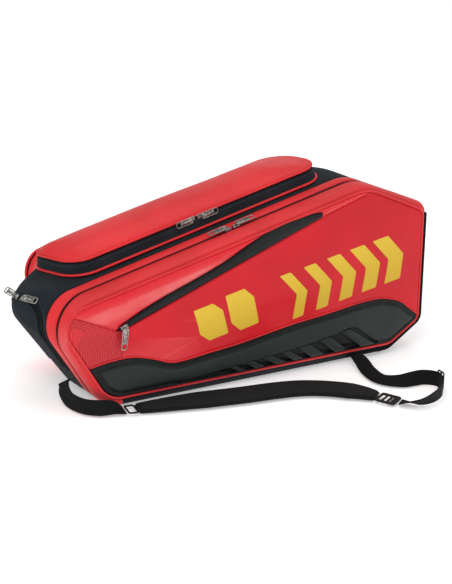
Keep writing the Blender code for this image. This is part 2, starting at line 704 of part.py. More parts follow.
BACK_TAIL = [(-0.1600, 0.1255, 0.0110, 0), (-0.1590, 0.1400, 0.0090, 0),
             (-0.1530, 0.1560, 0.0075, 0), (-0.1435, 0.1625, 0.0065, 0)]
BACK_PAD = [(x + 0.107, -y + 0.020, z, roll) for x, y, z, roll in FRONT_PAD]
BACK_LEAD = [(0.2730, 0.3380, 0.0050, 0), (0.2900, 0.3560, 0.0100, 40),
             (0.3200, 0.3480, 0.0155, 90), (0.3470, 0.3250, 0.0160, 90),
             (0.3510, 0.2920, 0.0160, 90), (0.3310, 0.2660, 0.0130, 55),
             (0.2850, 0.2300, 0.0090, 25), (0.2500, 0.1900, 0.0080, 15),
             (0.2340, 0.1500, 0.0100, 10), (0.2300, 0.1255, 0.0100, 0)]


def pad_width(t):
    """The pad is widest over the shoulder and runs down to the webbing at both ends."""
    return WEBBING_W + (PAD_W - WEBBING_W) * min(1.0, 6.0 * t, 6.0 * (1.0 - t)) ** 0.7


def strap(name, tail, pad, lead):
    route = smooth_route(lead, 3)
    ribbon(name + "_tail_webbing", smooth_route(tail, 3), lambda t: WEBBING_W, WEBBING_T, BLACK)
    ribbon(name + "_shoulder_pad", smooth_route(pad, 2), pad_width, PAD_T, CHARCOAL)
    ribbon(name + "_lead_webbing", route, lambda t: WEBBING_W, WEBBING_T, BLACK)
    ring_at = (Vector(tail[-1][:3]) + Vector(pad[0][:3])) / 2
    ring_way = Vector(pad[0][:3]) - Vector(tail[-1][:3])
    frame = [-0.0085, -0.0060, 0.0060, 0.0085]
    across = [-0.0165, -0.0140, 0.0140, 0.0165]
    place = placed(ring_at, ring_way, (0, 0, 1))
    ring = slotted_plate(name + "_ring", frame, across, {(1, 1)}, 0.0030, place)
    paint(ring, CHARCOAL, 0.4)
    on_axis(name + "_ring_pivot", place @ Matrix.Translation((RING_BAR_X, 0, 0)), ring)
    lock_at = (Vector(pad[-1][:3]) + Vector(lead[0][:3])) / 2
    lock_way = Vector(lead[0][:3]) - Vector(pad[-1][:3])
    xs = [-0.0175, -0.0120, -0.0070, -0.0020, 0.0030, 0.0080, 0.0175]
    ys = [-0.0180, -0.0140, 0.0140, 0.0180]
    place = placed(lock_at, lock_way, (0, 0, 1))
    lock = slotted_plate(name + "_ladder_lock", xs, ys, {(1, 1), (1, 3)}, 0.0050, place)
    paint(lock, CHARCOAL, 0.4)
    on_axis(name + "_ladder_lock_pivot", place @ Matrix.Translation((LOCK_BAR_X, 0, 0)), lock)
    along = (route[GLIDE_STEP + 1] - route[GLIDE_STEP - 1]).to_3d()
    out = along.cross(Vector((0, 0, 1)))
    if out.x < 0:
        out = -out
    glide_at = route[GLIDE_STEP].to_3d() + out.normalized() * (WEBBING_T / 2 + 0.0004 + 0.0014)
    xs = [-0.0100, -0.0070, -0.0020, 0.0020, 0.0070, 0.0100]
    ys = [-0.0155, -0.0130, 0.0130, 0.0155]
    glide = slotted_plate(name + "_tri_glide", xs, ys, {(1, 1), (1, 3)}, 0.0026,
                          placed(glide_at, along, out))
    paint(glide, CHARCOAL, 0.4)


def main():
    clear_scene()
    carcass()
    for side, name in ((-1, "front"), (1, "back")):
        shell(side, name)
    top_pocket()
    shoe_flap()
    zips()
    strap("front_strap", FRONT_TAIL, FRONT_PAD, FRONT_LEAD)
    strap("back_strap", BACK_TAIL, BACK_PAD, BACK_LEAD)


main()
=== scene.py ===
"""Racket tournament bag: the finished look, made as separate sewn, moulded and cast pieces
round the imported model. All sizes are in metres in the model's own frame: X runs along the bag
towards its wide end, -Y points out of the front shell and Z is up.
"""

import math

import bmesh
import bpy
import numpy as np
from mathutils import Matrix, Vector, noise
from mathutils.geometry import delaunay_2d_cdt


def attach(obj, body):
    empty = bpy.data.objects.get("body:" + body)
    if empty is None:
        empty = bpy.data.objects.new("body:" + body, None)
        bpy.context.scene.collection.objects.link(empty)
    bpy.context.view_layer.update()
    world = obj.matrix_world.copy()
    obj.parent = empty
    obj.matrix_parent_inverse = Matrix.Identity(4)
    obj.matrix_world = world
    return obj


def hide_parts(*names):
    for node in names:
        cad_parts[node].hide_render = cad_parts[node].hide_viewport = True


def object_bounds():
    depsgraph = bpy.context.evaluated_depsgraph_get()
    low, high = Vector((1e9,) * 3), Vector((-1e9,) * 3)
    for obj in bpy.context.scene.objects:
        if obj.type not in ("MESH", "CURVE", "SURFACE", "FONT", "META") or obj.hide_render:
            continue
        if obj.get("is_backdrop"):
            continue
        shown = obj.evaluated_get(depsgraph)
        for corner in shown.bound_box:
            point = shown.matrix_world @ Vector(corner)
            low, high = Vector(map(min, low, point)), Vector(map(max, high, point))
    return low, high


bl_info = {
    "name": "Racket tournament bag",
    "version": (1, 0, 0),
    "blender": (4, 5, 0),
    "location": "3D View > Sidebar > Racket Bag",
    "description": "Builds a zipped racket bag with moulded armour and shoulder straps",
    "category": "Object",
}

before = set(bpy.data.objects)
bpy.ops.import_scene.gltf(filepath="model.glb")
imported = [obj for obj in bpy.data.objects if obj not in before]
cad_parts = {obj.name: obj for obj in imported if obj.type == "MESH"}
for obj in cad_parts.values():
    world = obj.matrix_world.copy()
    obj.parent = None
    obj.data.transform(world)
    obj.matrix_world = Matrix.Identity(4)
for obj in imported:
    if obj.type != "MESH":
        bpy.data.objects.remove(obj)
CAD_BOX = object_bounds()

# ---------------------------------------------------------------- dimensions of the model
GAP = 0.0004
PIPING_Y = 0.1213
BULGE_Y = 0.100
ZIP_Y = 0.0830
GUSSET_Y = 0.0634
PANEL_FLOOR = 0.1218
SEAM_H = 0.1240
EDGING_H = 0.1262
ARMOUR_RIM = 0.1248
BASIN_DEPTH = 0.0048
SLAT_FOOT = 0.1276
SLAT_RISE = 0.0046
GUARD_RIM = 0.1246
BINDING_Y = 0.1196
CLOTH_T = 0.0022
SIDES = ((-1, "front"), (1, "back"))

EDGE_OUTLINE = [(-0.266, 0.0205, 0.050), (-0.366, 0.168, 0.035), (0.2275, 0.303, 0.080),
                (0.3525, 0.2506, 0.018), (0.3595, 0.0567, 0.016), (0.300, 0.0205, 0.030)]
BULGE_OUTLINE = [(-0.262, 0.0, 0.060), (-0.3770, 0.1715, 0.060), (0.230, 0.3095, 0.080),
                 (0.3685, 0.2565, 0.020), (0.375, 0.050, 0.020), (0.300, 0.0, 0.030)]
CROWN_OUTLINE = [(-0.258, 0.0, 0.060), (-0.3985, 0.1738, 0.033), (0.2182, 0.3149, 0.080),
                 (0.371, 0.251, 0.022), (0.377, 0.050, 0.022), (0.302, 0.0, 0.030)]
ARC_STEPS = [16, 24, 16, 12, 12, 8]
RUN_STEPS = [24, 64, 16, 24, 8, 40]

# Behind the middle plane the narrow end draws back and the wide end's top falls away.
WIDE_END = 0.377
BODY_LENGTH = 0.753
SET_BACK = 0.70
SET_BACK_EASE = 0.15
TOP_FALL = 0.29
TOP_FALL_EASE = 0.30
FALL_START, FALL_END = 0.15, 0.24
TURN_SPAN = 0.012
# The narrow end swells between the main zips.
NOSE_Y = 0.0835
NOSE_POWER = 1.6

TOP_RISE = 0.228
TOP_LINE_Z = 0.2511
TOP_SLOPE = math.atan2(TOP_RISE, 1.0)
TOP_ORIGIN = Vector((0.0, 0.0, TOP_LINE_Z))
TOP_U = Vector((math.cos(TOP_SLOPE), 0.0, math.sin(TOP_SLOPE)))
TOP_N = Vector((-math.sin(TOP_SLOPE), 0.0, math.cos(TOP_SLOPE)))
POCKET_U = (-0.288, 0.2070)
POCKET_SKEW = 0.028
POCKET_HALF = 0.052
POCKET_BASE_H = 0.0140
POCKET_RIM_H = 0.0330
LID_EDGE_H = 0.0370
LID_INSET = 0.0035

SHOE_ZIP_Z = 0.1706
ARCH_MID = -0.015
ARCH_HALF = 0.040
ARCH_TOP = 0.172
ARCH_FOOT = 0.056
ARCH_R = 0.034

WEBBING_W = 0.025
WEBBING_T = 0.0022
TAIL_CORD_D = 0.0236
PAD_W = 0.058
PAD_T = 0.0125
# The ladder lock's bars, as place along, lift and radius.
LOCK_BARS = [(-0.0050, 0.0008, 0.0020), (0.0045, 0.0016, 0.0024), (0.0105, 0.0004, 0.0030)]

# Pitches of the weaves and mouldings.
RIPSTOP_PITCH = 0.0042
RIB_PITCH = 0.0030
YARN_PITCH = 0.0022
COLUMN_PITCH = 0.0018
HOLE_SPACING = (0.0052, 0.0030)
KNIT_PITCH = 0.0011
GUARD_RIB_PITCH = 0.0056
STITCH = (0.0027, 0.00042)
TOOTH_H = 0.0011
TOOTH_SHIFT = 0.00035

# Lines on the big side panels, as (x, z).
ARMOUR_LINE = [(-0.330, 0.0700), (-0.3036, 0.0793), (-0.273, 0.0842), (-0.242, 0.0862),
               (-0.2164, 0.0842), (-0.184, 0.0754), (-0.153, 0.0646), (-0.1264, 0.0636),
               (-0.0784, 0.0685), (-0.0177, 0.0744), (0.080, 0.0890), (0.150, 0.0960),
               (0.223, 0.1048), (0.260, 0.1067), (0.282, 0.1047), (0.314, 0.0950),
               (0.338, 0.0783), (0.360, 0.0620)]
GUARD_FOOT = (-0.246, 0.132)
GUARD_HEAD = (0.136, 0.267)
GUARD_BELLY = [(0.134, 0.2755), (0.095, 0.2725), (0.058, 0.2660), (0.022, 0.2545),
               (-0.016, 0.2370), (-0.060, 0.2160), (-0.110, 0.1970), (-0.165, 0.1780),
               (-0.214, 0.1580), (-0.244, 0.1430), (-0.256, 0.1335)]
WEDGE_TIP = (0.232, 0.2945)
BASIN_TOP = np.array([(-0.155, 0.0268), (-0.103, 0.0330), (-0.049, 0.0380), (0.002, 0.0418),
                      (0.045, 0.0455), (0.093, 0.0498), (0.140, 0.0550), (0.172, 0.0590),
                      (0.203, 0.0668), (0.214, 0.0668)])
BASIN = np.vstack([BASIN_TOP, [(0.222, 0.0630), (0.274, 0.0272), (0.268, 0.0252),
                               (0.100, 0.0248), (-0.130, 0.0248)]])
# Each louvre slat's ends, as x: top left, top right, bottom left, bottom right.
SLATS = [(-0.040, -0.026, -0.020, -0.006), (-0.010, 0.008, 0.014, 0.032),
         (0.024, 0.045, 0.056, 0.078), (0.060, 0.080, 0.092, 0.113),
         (0.094, 0.122, 0.128, 0.157), (0.140, 0.166, 0.178, 0.205),
         (0.184, 0.206, 0.232, 0.266)]
CORNER_SEAM = (-0.327, 0.1606)
CORNER_FOOT = (-0.242, 0.0862)

FRONT_TAIL = [(-0.3010, -0.050, 0.0330, 40), (-0.3090, -0.062, 0.0250, 60),
              (-0.3120, -0.085, 0.0160, 75), (-0.3060, -0.116, 0.0150, 80),
              (-0.2880, -0.134, 0.0150, 70), (-0.2650, -0.137, 0.0130, 40),
              (-0.2460, -0.140, 0.0060, 8)]
FRONT_PAD = [(-0.2230, -0.146, 0.0065, 0), (-0.130, -0.1600, 0.0065, 0),
             (-0.045, -0.1760, 0.0065, 0), (0.020, -0.1860, 0.0065, 0),
             (0.062, -0.1980, 0.0065, 0), (0.098, -0.2200, 0.0065, 0),
             (0.126, -0.2480, 0.0065, 0), (0.146, -0.2800, 0.0065, 0)]
FRONT_LEAD = [(0.1660, -0.3180, 0.0050, 0), (0.1850, -0.3420, 0.0100, -40),
              (0.2150, -0.3440, 0.0150, -75), (0.2480, -0.3250, 0.0160, -88),
              (0.2690, -0.2920, 0.0160, -88), (0.2560, -0.2660, 0.0140, -70),
              (0.2200, -0.2540, 0.0100, -35), (0.1990, -0.2280, 0.0080, -20),
              (0.2040, -0.1900, 0.0080, -20), (0.2200, -0.1500, 0.0100, -10),
              (0.2300, -0.1245, 0.0100, 0)]
BACK_TAIL = [(-0.1600, 0.1255, 0.0110, 0), (-0.1590, 0.1400, 0.0090, 0),
             (-0.1530, 0.1560, 0.0075, 0), (-0.1435, 0.1625, 0.0065, 0)]
BACK_PAD = [(x + 0.107, -y + 0.020, z, roll) for x, y, z, roll in FRONT_PAD]
BACK_LEAD = [(0.2730, 0.3380, 0.0050, 0), (0.2900, 0.3560, 0.0100, 40),
             (0.3200, 0.3480, 0.0155, 90), (0.3470, 0.3250, 0.0160, 90),
             (0.3510, 0.2920, 0.0160, 90), (0.3310, 0.2660, 0.0130, 55),
             (0.2850, 0.2300, 0.0090, 25), (0.2500, 0.1900, 0.0080, 15),
             (0.2340, 0.1500, 0.0100, 10), (0.2300, 0.1255, 0.0100, 0)]
STRAPS = {"front": (FRONT_TAIL, FRONT_PAD, FRONT_LEAD), "back": (BACK_TAIL, BACK_PAD, BACK_LEAD)}


# The camera's azimuth, elevation and roll in degrees, and its focal length over the sensor.
CAMERA_TURN = (-36.0, 18.5, -3.0)
CAMERA_TARGET = Vector((0.040, 0.0, 0.1145))
CAMERA_DISTANCE = 3.4265
LENS_SHARE = 3.5056507


# ---------------------------------------------------------------- settings
class BagSizes(bpy.types.PropertyGroup):
    """Sizes of the sewing and moulding that a user may change."""

    panel_puff: bpy.props.FloatProperty(
        name="Panel puff", description="How far the foam pushes the big panels out",
        default=0.0030, min=0.0, max=0.006, unit='LENGTH')
    piping_radius: bpy.props.FloatProperty(
        name="Piping radius", description="Half the thickness of the covered cords",
        default=0.0021, min=0.001, max=0.003, unit='LENGTH')
    stitch_pitch: bpy.props.FloatProperty(
        name="Stitch pitch", description="Distance from one stitch to the next",
        default=0.0040, min=0.002, max=0.008, unit='LENGTH')
    tooth_pitch: bpy.props.FloatProperty(
        name="Zip tooth pitch", description="Distance from one zip coil to the next",
        default=0.0021, min=0.0012, max=0.004, unit='LENGTH')
    weave_pitch: bpy.props.FloatProperty(
        name="Weave pitch", description="Thread spacing of the black fabric",
        default=0.0011, min=0.0005, max=0.003, unit='LENGTH')
    lid_crown: bpy.props.FloatProperty(
        name="Lid crown", description="Height of the lid's padded dome over its edge",
        default=0.0195, min=0.010, max=0.022, unit='LENGTH')


class BagColours(bpy.types.PropertyGroup):
    """Colours of the cloths, mouldings and metal."""

    panel_red: bpy.props.FloatVectorProperty(
        name="Panel red", description="Glossy coated side panels", subtype='COLOR',
        size=3, min=0.0, max=1.0, default=(0.600, 0.0060, 0.0150))
    band_red: bpy.props.FloatVectorProperty(
        name="Band red", description="Matt coated side bands and lid", subtype='COLOR',
        size=3, min=0.0, max=1.0, default=(0.700, 0.0300, 0.0340))
    fabric_black: bpy.props.FloatVectorProperty(
        name="Fabric black", description="Woven gusset, pocket and base", subtype='COLOR',
        size=3, min=0.0, max=1.0, default=(0.011, 0.016, 0.020))
    moulded_black: bpy.props.FloatVectorProperty(
        name="Moulded black", description="Armour panels and buckles", subtype='COLOR',
        size=3, min=0.0, max=1.0, default=(0.0130, 0.0185, 0.0180))
    webbing_black: bpy.props.FloatVectorProperty(
        name="Webbing black", description="Straps and tapes", subtype='COLOR',
        size=3, min=0.0, max=1.0, default=(0.0060, 0.0070, 0.0072))
    print_gold: bpy.props.FloatVectorProperty(
        name="Print gold", description="Printed side graphic", subtype='COLOR',
        size=3, min=0.0, max=1.0, default=(0.720, 0.470, 0.035))
    metal: bpy.props.FloatVectorProperty(
        name="Metal", description="Zip sliders and pulls", subtype='COLOR',
        size=3, min=0.0, max=1.0, default=(0.30, 0.295, 0.28))


def sizes():
    return bpy.context.scene.bag_sizes


def colours():
    return bpy.context.scene.bag_colours


# ---------------------------------------------------------------- shader maths
class Wire:
    """One shader value. Arithmetic on it adds the Math nodes that work it out."""

    def __init__(self, finish, socket):
        self.finish = finish
        self.socket = socket

    def maths(self, operation, *values):
        node = self.finish.node("ShaderNodeMath", {"operation": operation},
                                dict(enumerate(values)))
        return node[0]

    def __add__(self, other):
        return self.maths('ADD', self, other)

    def __radd__(self, other):
        return self.maths('ADD', other, self)

    def __sub__(self, other):
        return self.maths('SUBTRACT', self, other)

    def __rsub__(self, other):
        return self.maths('SUBTRACT', other, self)

    def __mul__(self, other):
        return self.maths('MULTIPLY', self, other)

    def __rmul__(self, other):
        return self.maths('MULTIPLY', other, self)

    def __pow__(self, other):
        return self.maths('POWER', self, other)

    def __abs__(self):
        return self.maths('ABSOLUTE', self)

    def sine(self):
        return self.maths('SINE', self)

    def most(self, other):
        return self.maths('MAXIMUM', self, other)

    def between(self, low, high):
        """0 below low and 1 above high, with a smooth change between them."""
        node = self.finish.node("ShaderNodeMapRange", {"interpolation_type": 'SMOOTHSTEP'},
                                {"Value": self, "From Min": low, "From Max": high})
        return node["Result"]


class Outputs:
    """A node whose outputs are read as wires."""

    def __init__(self, finish, made):
        self.finish = finish
        self.made = made

    def __getitem__(self, key):
        return Wire(self.finish, self.made.outputs[key])


class Finish:
    """One material, built from wires onto its Principled shader."""

    def __init__(self, name, **constants):
        self.material = bpy.data.materials.new(name)
        self.material.use_nodes = True
        self.tree = self.material.node_tree
        self.shader = self.tree.nodes["Principled BSDF"]
        self.bumped = None
        for key, value in constants.items():
            self.shader.inputs[key.replace("_", " ")].default_value = value
        coordinates = self.node("ShaderNodeTexCoord")
        self.place = coordinates["Object"]
        cloth = self.node("ShaderNodeSeparateXYZ", None, {"Vector": coordinates["UV"]})
        self.u, self.v = cloth["X"], cloth["Y"]
        parts = self.node("ShaderNodeSeparateXYZ", None, {"Vector": self.place})
        self.x, self.y, self.z = parts["X"], parts["Y"], parts["Z"]

    def node(self, kind, settings=None, values=None):
        made = self.tree.nodes.new(kind)
        for key, value in (settings or {}).items():
            setattr(made, key, value)
        for key, value in (values or {}).items():
            if isinstance(value, Wire):
                self.tree.links.new(value.socket, made.inputs[key])
            else:
                made.inputs[key].default_value = value
        return Outputs(self, made)

    def speckle(self, scale, detail=2.0):
        values = {"Vector": self.place, "Scale": scale, "Detail": detail, "Roughness": 0.5}
        return self.node("ShaderNodeTexNoise", None, values)["Fac"]

    def mix(self, factor, first, second):
        values = {0: factor, 6: first, 7: second}
        return self.node("ShaderNodeMix", {"data_type": 'RGBA'}, values)[2]

    def joined(self, x, y):
        return self.node("ShaderNodeCombineXYZ", None, {"X": x, "Y": y})["Vector"]

    def cells(self, place, output, feature='F1'):
        """Flat Voronoi cells at a place: their colour, or the distance to their edges."""
        settings = {"voronoi_dimensions": '2D', "feature": feature}
        values = {"Vector": place, "Scale": 1.0}
        return self.node("ShaderNodeTexVoronoi", settings, values)[output]

    def channel(self, colour, name):
        return self.node("ShaderNodeSeparateColor", None, {"Color": colour})[name]

    def colour(self, wire):
        self.tree.links.new(wire.socket, self.shader.inputs["Base Color"])

    def rough(self, wire):
        self.tree.links.new(wire.socket, self.shader.inputs["Roughness"])

    def bump(self, height, distance, strength=1.0):
        values = {"Height": height, "Distance": distance, "Strength": strength}
        if self.bumped:
            values["Normal"] = self.bumped
        self.bumped = self.node("ShaderNodeBump", None, values)["Normal"]
        self.tree.links.new(self.bumped.socket, self.shader.inputs["Normal"])


def rgba(colour, share=1.0):
    """A shader colour, brightened or darkened by share."""
    return (*(min(1.0, c * share) for c in colour), 1.0)


def waves(pitch):
    """Radians for each metre of a wave of the given length."""
    return 2 * math.pi / pitch


def weave_of(finish, pitch):
    """The over and under of a plain weave, from -1 to 1."""
    return (finish.u * waves(pitch)).sine() * (finish.v * waves(pitch)).sine()


def coated_cloth(name, colour, gloss, grain=1.0, broad=0.0010, coat=0.04):
    """Coated cloth: fine leather-like grain over foam that gives a little under the skin."""
    made = Finish(name, Coat_Weight=coat, Coat_Roughness=0.16, Specular_IOR_Level=0.18)
    drift = made.speckle(9.0, 3.0)
    fine = made.node("ShaderNodeTexVoronoi", {"feature": 'SMOOTH_F1'}, {
        "Vector": made.place, "Scale": 900.0, "Smoothness": 0.6})["Distance"]
    made.colour(made.mix(drift.between(0.3, 0.7), rgba(colour, 0.90), rgba(colour, 1.08)))
    made.rough(gloss + (made.speckle(60.0, 4.0) - 0.5) * 0.14)
    made.bump(fine, 0.00012 * grain, 0.5)
    made.bump(made.speckle(14.0, 2.0), broad, 0.55)
    return made


def printed_panel(name, colour):
    """The big side panel: glossy coated cloth with faint angular shards in the same red."""
    made = coated_cloth(name, colour, 0.34, 0.7, 0.0012, 0.14)
    slanted = made.joined(made.x * 9.0 + made.z * 14.0, made.z * 26.0 - made.x * 5.0)
    tone = made.channel(made.cells(slanted, "Color"), "Red")
    edges = made.cells(slanted, "Distance", 'DISTANCE_TO_EDGE')
    reach = made.x.between(-0.262, -0.235) * (1 - made.x.between(-0.150, -0.075))
    low = 1 - (made.z - made.x * 0.25).between(0.135, 0.175)
    where = reach * low
    lines = (1 - edges.between(0.02, 0.06)) * 0.55
    shade = (tone.between(0.45, 0.75) * 0.6 + lines) * where
    base = made.mix(made.speckle(9.0, 3.0).between(0.3, 0.7), rgba(colour, 0.92),
                    rgba(colour, 1.06))
    pale = rgba([min(1.0, c * 1.12 + 0.045) for c in colour])
    made.colour(made.mix(shade, base, pale))
    return made


def glossy_panel_with_painted_highlight(name, colour, pale):
    """Glossy coated cloth with a painted highlight: a broad pale band is painted along its
    middle.
    """
    made = coated_cloth(name, colour, 0.26, 0.5, 0.0022, 0.45)
    above = made.z - made.x * 0.23
    # painted highlight: a pale band along the panel's middle stands for a broad reflection of
    # light
    painted_highlight_band = above.between(0.206, 0.222) * (1 - above.between(0.232, 0.2385))
    cloudy = made.speckle(12.0, 3.0).between(0.15, 0.75)
    # the painted highlight's colour: the pale red, a little cloudy
    base = made.mix(cloudy, rgba(pale), rgba([c + 0.13 for c in pale]))
    made.colour(made.mix(painted_highlight_band * 0.8 + 0.1, rgba(colour, 1.15), base))
    return made


def ripstop(name, colour):
    """Thin red cloth with a raised grid of heavier threads and darker slanting shards."""
    made = Finish(name, Coat_Weight=0.12, Coat_Roughness=0.2, Specular_IOR_Level=0.2)
    turn = waves(RIPSTOP_PITCH)
    across = (made.x * turn + made.z * turn * 0.20).sine().between(0.80, 0.98)
    along = (made.z * turn - made.x * turn * 0.12).sine().between(0.80, 0.98)
    grid = across.most(along)
    slanted = made.joined(made.x * 16.0 - made.z * 15.0, made.z * 9.0 + made.x * 7.0)
    tone = made.channel(made.cells(slanted, "Color"), "Green")
    base = made.mix(tone.between(0.5, 0.62), rgba(colour), rgba(colour, 0.74))
    made.colour(made.mix(grid * 0.7, base, rgba([c * 1.15 + 0.09 for c in colour])))
    made.rough(0.36 - grid * 0.10 + (made.speckle(50.0) - 0.5) * 0.1)
    made.bump(grid, 0.00025, 0.6)
    made.bump(made.speckle(30.0, 3.0), 0.0012, 0.5)
    return made


def woven(name, colour, pitch, rough=0.82):
    """Black pack cloth in a plain weave, a little dusty and uneven."""
    made = Finish(name, Sheen_Weight=0.03, Sheen_Roughness=0.5, Specular_IOR_Level=0.14)
    threads = weave_of(made, pitch)
    drift = made.speckle(22.0, 4.0)
    base = made.mix(drift.between(0.25, 0.75), rgba(colour, 0.75), rgba(colour, 1.35))
    made.colour(made.mix(threads.between(0.2, 1.0) * 0.5, base, rgba(colour, 2.3)))
    made.rough(rough - threads * 0.06 + (made.speckle(90.0) - 0.5) * 0.12)
    made.bump(threads, 0.00022, 0.7)
    made.bump(made.speckle(16.0, 3.0), 0.0016, 0.5)
    return made


def moulded(name, colour, rough=0.46, ribs=True, raised=None):
    """Moulded foam skin with fine slanting ribs that cross into a small check.

    Where raised gives two distances from the middle plane, shade is painted in below them: the
    parts that lie deeper, in the recesses, are darkened.
    """
    made = Finish(name, Coat_Weight=0.02, Coat_Roughness=0.35, Specular_IOR_Level=0.22)
    turn = waves(RIB_PITCH)
    one = (made.x * turn + made.z * turn * 0.9).sine()
    two = (made.x * turn * 0.55 - made.z * turn).sine()
    check = (one * 0.6 + two * 0.4).between(-0.2, 0.9)
    drift = made.speckle(12.0, 3.0)
    base = made.mix(drift.between(0.3, 0.7), rgba(colour, 0.85), rgba(colour, 1.2))
    if ribs:
        base = made.mix(check * 0.6, base, rgba(colour, 1.9))
        made.bump(check, 0.00022, 0.55)
    # painted shade: the rim's bevel, the basin and the louvres' feet, which lie deeper than the
    # face, are painted darker
    if raised:
        base = made.mix(abs(made.y).between(*raised), rgba(colour, 0.18), base)
    made.colour(base)
    made.rough(rough + (made.speckle(120.0, 3.0) - 0.5) * 0.16)
    made.bump(made.speckle(700.0, 2.0), 0.00008, 0.5)
    return made


def strap_web(name, colour):
    """Flat webbing: a herringbone of thick yarns that runs along the strap."""
    made = Finish(name, Sheen_Weight=0.02, Sheen_Roughness=0.4, Specular_IOR_Level=0.12)
    slant = (made.v * waves(WEBBING_W / 2)).sine()
    yarns = (made.u * waves(YARN_PITCH) + slant * 2.2).sine()
    columns = (made.v * waves(COLUMN_PITCH)).sine()
    cord = yarns * 0.7 + columns * 0.3
    base = made.mix(cord.between(-0.3, 0.9), rgba(colour, 0.6), rgba(colour, 2.2))
    made.colour(base)
    made.rough(0.78 - cord * 0.08 + (made.speckle(150.0) - 0.5) * 0.1)
    made.bump(cord, 0.00030, 0.8)
    return made


def spacer_mesh(name, colour):
    """Spacer mesh: rows of small round holes over foam, on a knitted ground."""
    made = Finish(name, Sheen_Weight=0.02, Sheen_Roughness=0.5, Specular_IOR_Level=0.12)
    wide, tall = HOLE_SPACING
    columns = (made.x * waves(wide)).sine()
    rows = ((made.y + made.z * 0.5) * waves(tall)).sine()
    holes = ((columns * rows) ** 2.0).between(0.30, 0.75)
    knit = (made.x * waves(KNIT_PITCH)).sine() * (made.y * waves(KNIT_PITCH)).sine()
    base = made.mix(holes, rgba(colour, 2.4), rgba(colour, 0.25))
    made.colour(made.mix(made.speckle(40.0).between(0.35, 0.8) * 0.4, base, rgba(colour, 3.2)))
    made.rough(0.80 + (made.speckle(80.0) - 0.5) * 0.15)
    made.bump(1 - holes, 0.0009, 0.8)
    made.bump(knit, 0.00012, 0.5)
    return made


def cast_metal(name, colour):
    """Dark plated zinc with brighter rubbed places."""
    made = Finish(name, Metallic=1.0)
    rubbed = made.speckle(260.0, 4.0).between(0.42, 0.68)
    made.colour(made.mix(rubbed, rgba(colour, 0.75), rgba(colour, 1.9)))
    made.rough(0.24 + made.speckle(500.0, 3.0) * 0.22)
    made.bump(made.speckle(900.0, 3.0), 0.00006, 0.5)
    return made


def print_ink(name, colour):
    """Opaque print that keeps a trace of the grain under it and fades a little downwards."""
    made = Finish(name, Coat_Weight=0.05, Coat_Roughness=0.3, Specular_IOR_Level=0.2)
    fade = (made.z - made.x * 0.2).between(0.07, 0.19)
    base = made.mix(fade, rgba((colour[0] * 0.88, colour[1] * 0.86, colour[2] * 0.7)),
                    rgba((colour[0] * 1.08, colour[1] * 1.12, colour[2] * 1.3)))
    made.colour(made.mix(made.speckle(420.0, 3.0).between(0.4, 0.8) * 0.22, base,
                         rgba(colour, 0.8)))
    made.rough(0.40 + (made.speckle(70.0) - 0.5) * 0.16)
    made.bump(made.speckle(1100.0, 2.0), 0.00006, 0.5)
    return made


def thread_of(name, colour):
    """Twisted sewing thread."""
    made = Finish(name, Sheen_Weight=0.1)
    twist = ((made.x + made.y + made.z) * 9000.0).sine()
    made.colour(made.mix(twist.between(-0.5, 0.8), rgba(colour, 0.7), rgba(colour, 1.3)))
    made.rough(0.6 + (made.speckle(400.0) - 0.5) * 0.2)
    return made


FINISHES = {}


def finish(name):
    """The named material, made on first use."""
    tint = colours()
    makers = {
        "panel_red": lambda: printed_panel("coated_panel_red", tint.panel_red),
        # the band red is also the colour of the wedge's painted highlight
        "wedge_red": lambda: glossy_panel_with_painted_highlight("coated_wedge_red", tint.panel_red, tint.band_red),
        "band_red": lambda: coated_cloth("coated_band_red", tint.band_red, 0.42, 1.2, 0.0012),
        "lid_red": lambda: coated_cloth("coated_lid_red", tint.band_red, 0.38, 1.2, 0.0020),
        "piping_red": lambda: coated_cloth("piping_red", tint.band_red, 0.33, 0.8, 0.0002),
        "corner_red": lambda: ripstop("ripstop_red", tint.panel_red),
        "fabric_black": lambda: woven("pack_cloth_black", tint.fabric_black,
                                      sizes().weave_pitch),
        "lining": lambda: woven("lining_cloth", (0.020, 0.023, 0.026), 0.0008, 0.7),
        "tape": lambda: woven("zip_tape_black", tint.webbing_black, 0.0007, 0.75),
        "coil": lambda: moulded("zip_coil_black", (0.008, 0.009, 0.010), 0.30, False),
        # the armour's moulded black, with shade painted into its recesses below these two depths
        "armour": lambda: moulded("moulded_armour", tint.moulded_black, 0.45, True,
                                  (0.1286, 0.1312)),
        "guard": lambda: moulded("moulded_guard", (0.0030, 0.0055, 0.0055), 0.40, False),
        "buckle": lambda: moulded("buckle_plastic", tint.webbing_black, 0.34, False),
        "webbing": lambda: strap_web("strap_webbing", tint.webbing_black),
        "spacer": lambda: spacer_mesh("spacer_mesh_black", tint.webbing_black),
        "metal": lambda: cast_metal("plated_metal", tint.metal),
        "gold": lambda: print_ink("print_gold", tint.print_gold),
        "thread_red": lambda: thread_of("thread_red", (0.34, 0.006, 0.012)),
        "thread_black": lambda: thread_of("thread_black", (0.03, 0.032, 0.034)),
    }
    if name not in FINISHES:
        FINISHES[name] = makers[name]().material
    return FINISHES[name]


# ---------------------------------------------------------------- outlines and rings
def ease(value, low, high):
    """A smooth change from 0 at low to 1 at high."""
    t = np.clip((value - low) / (high - low), 0, 1)
    return t * t * (3 - 2 * t)


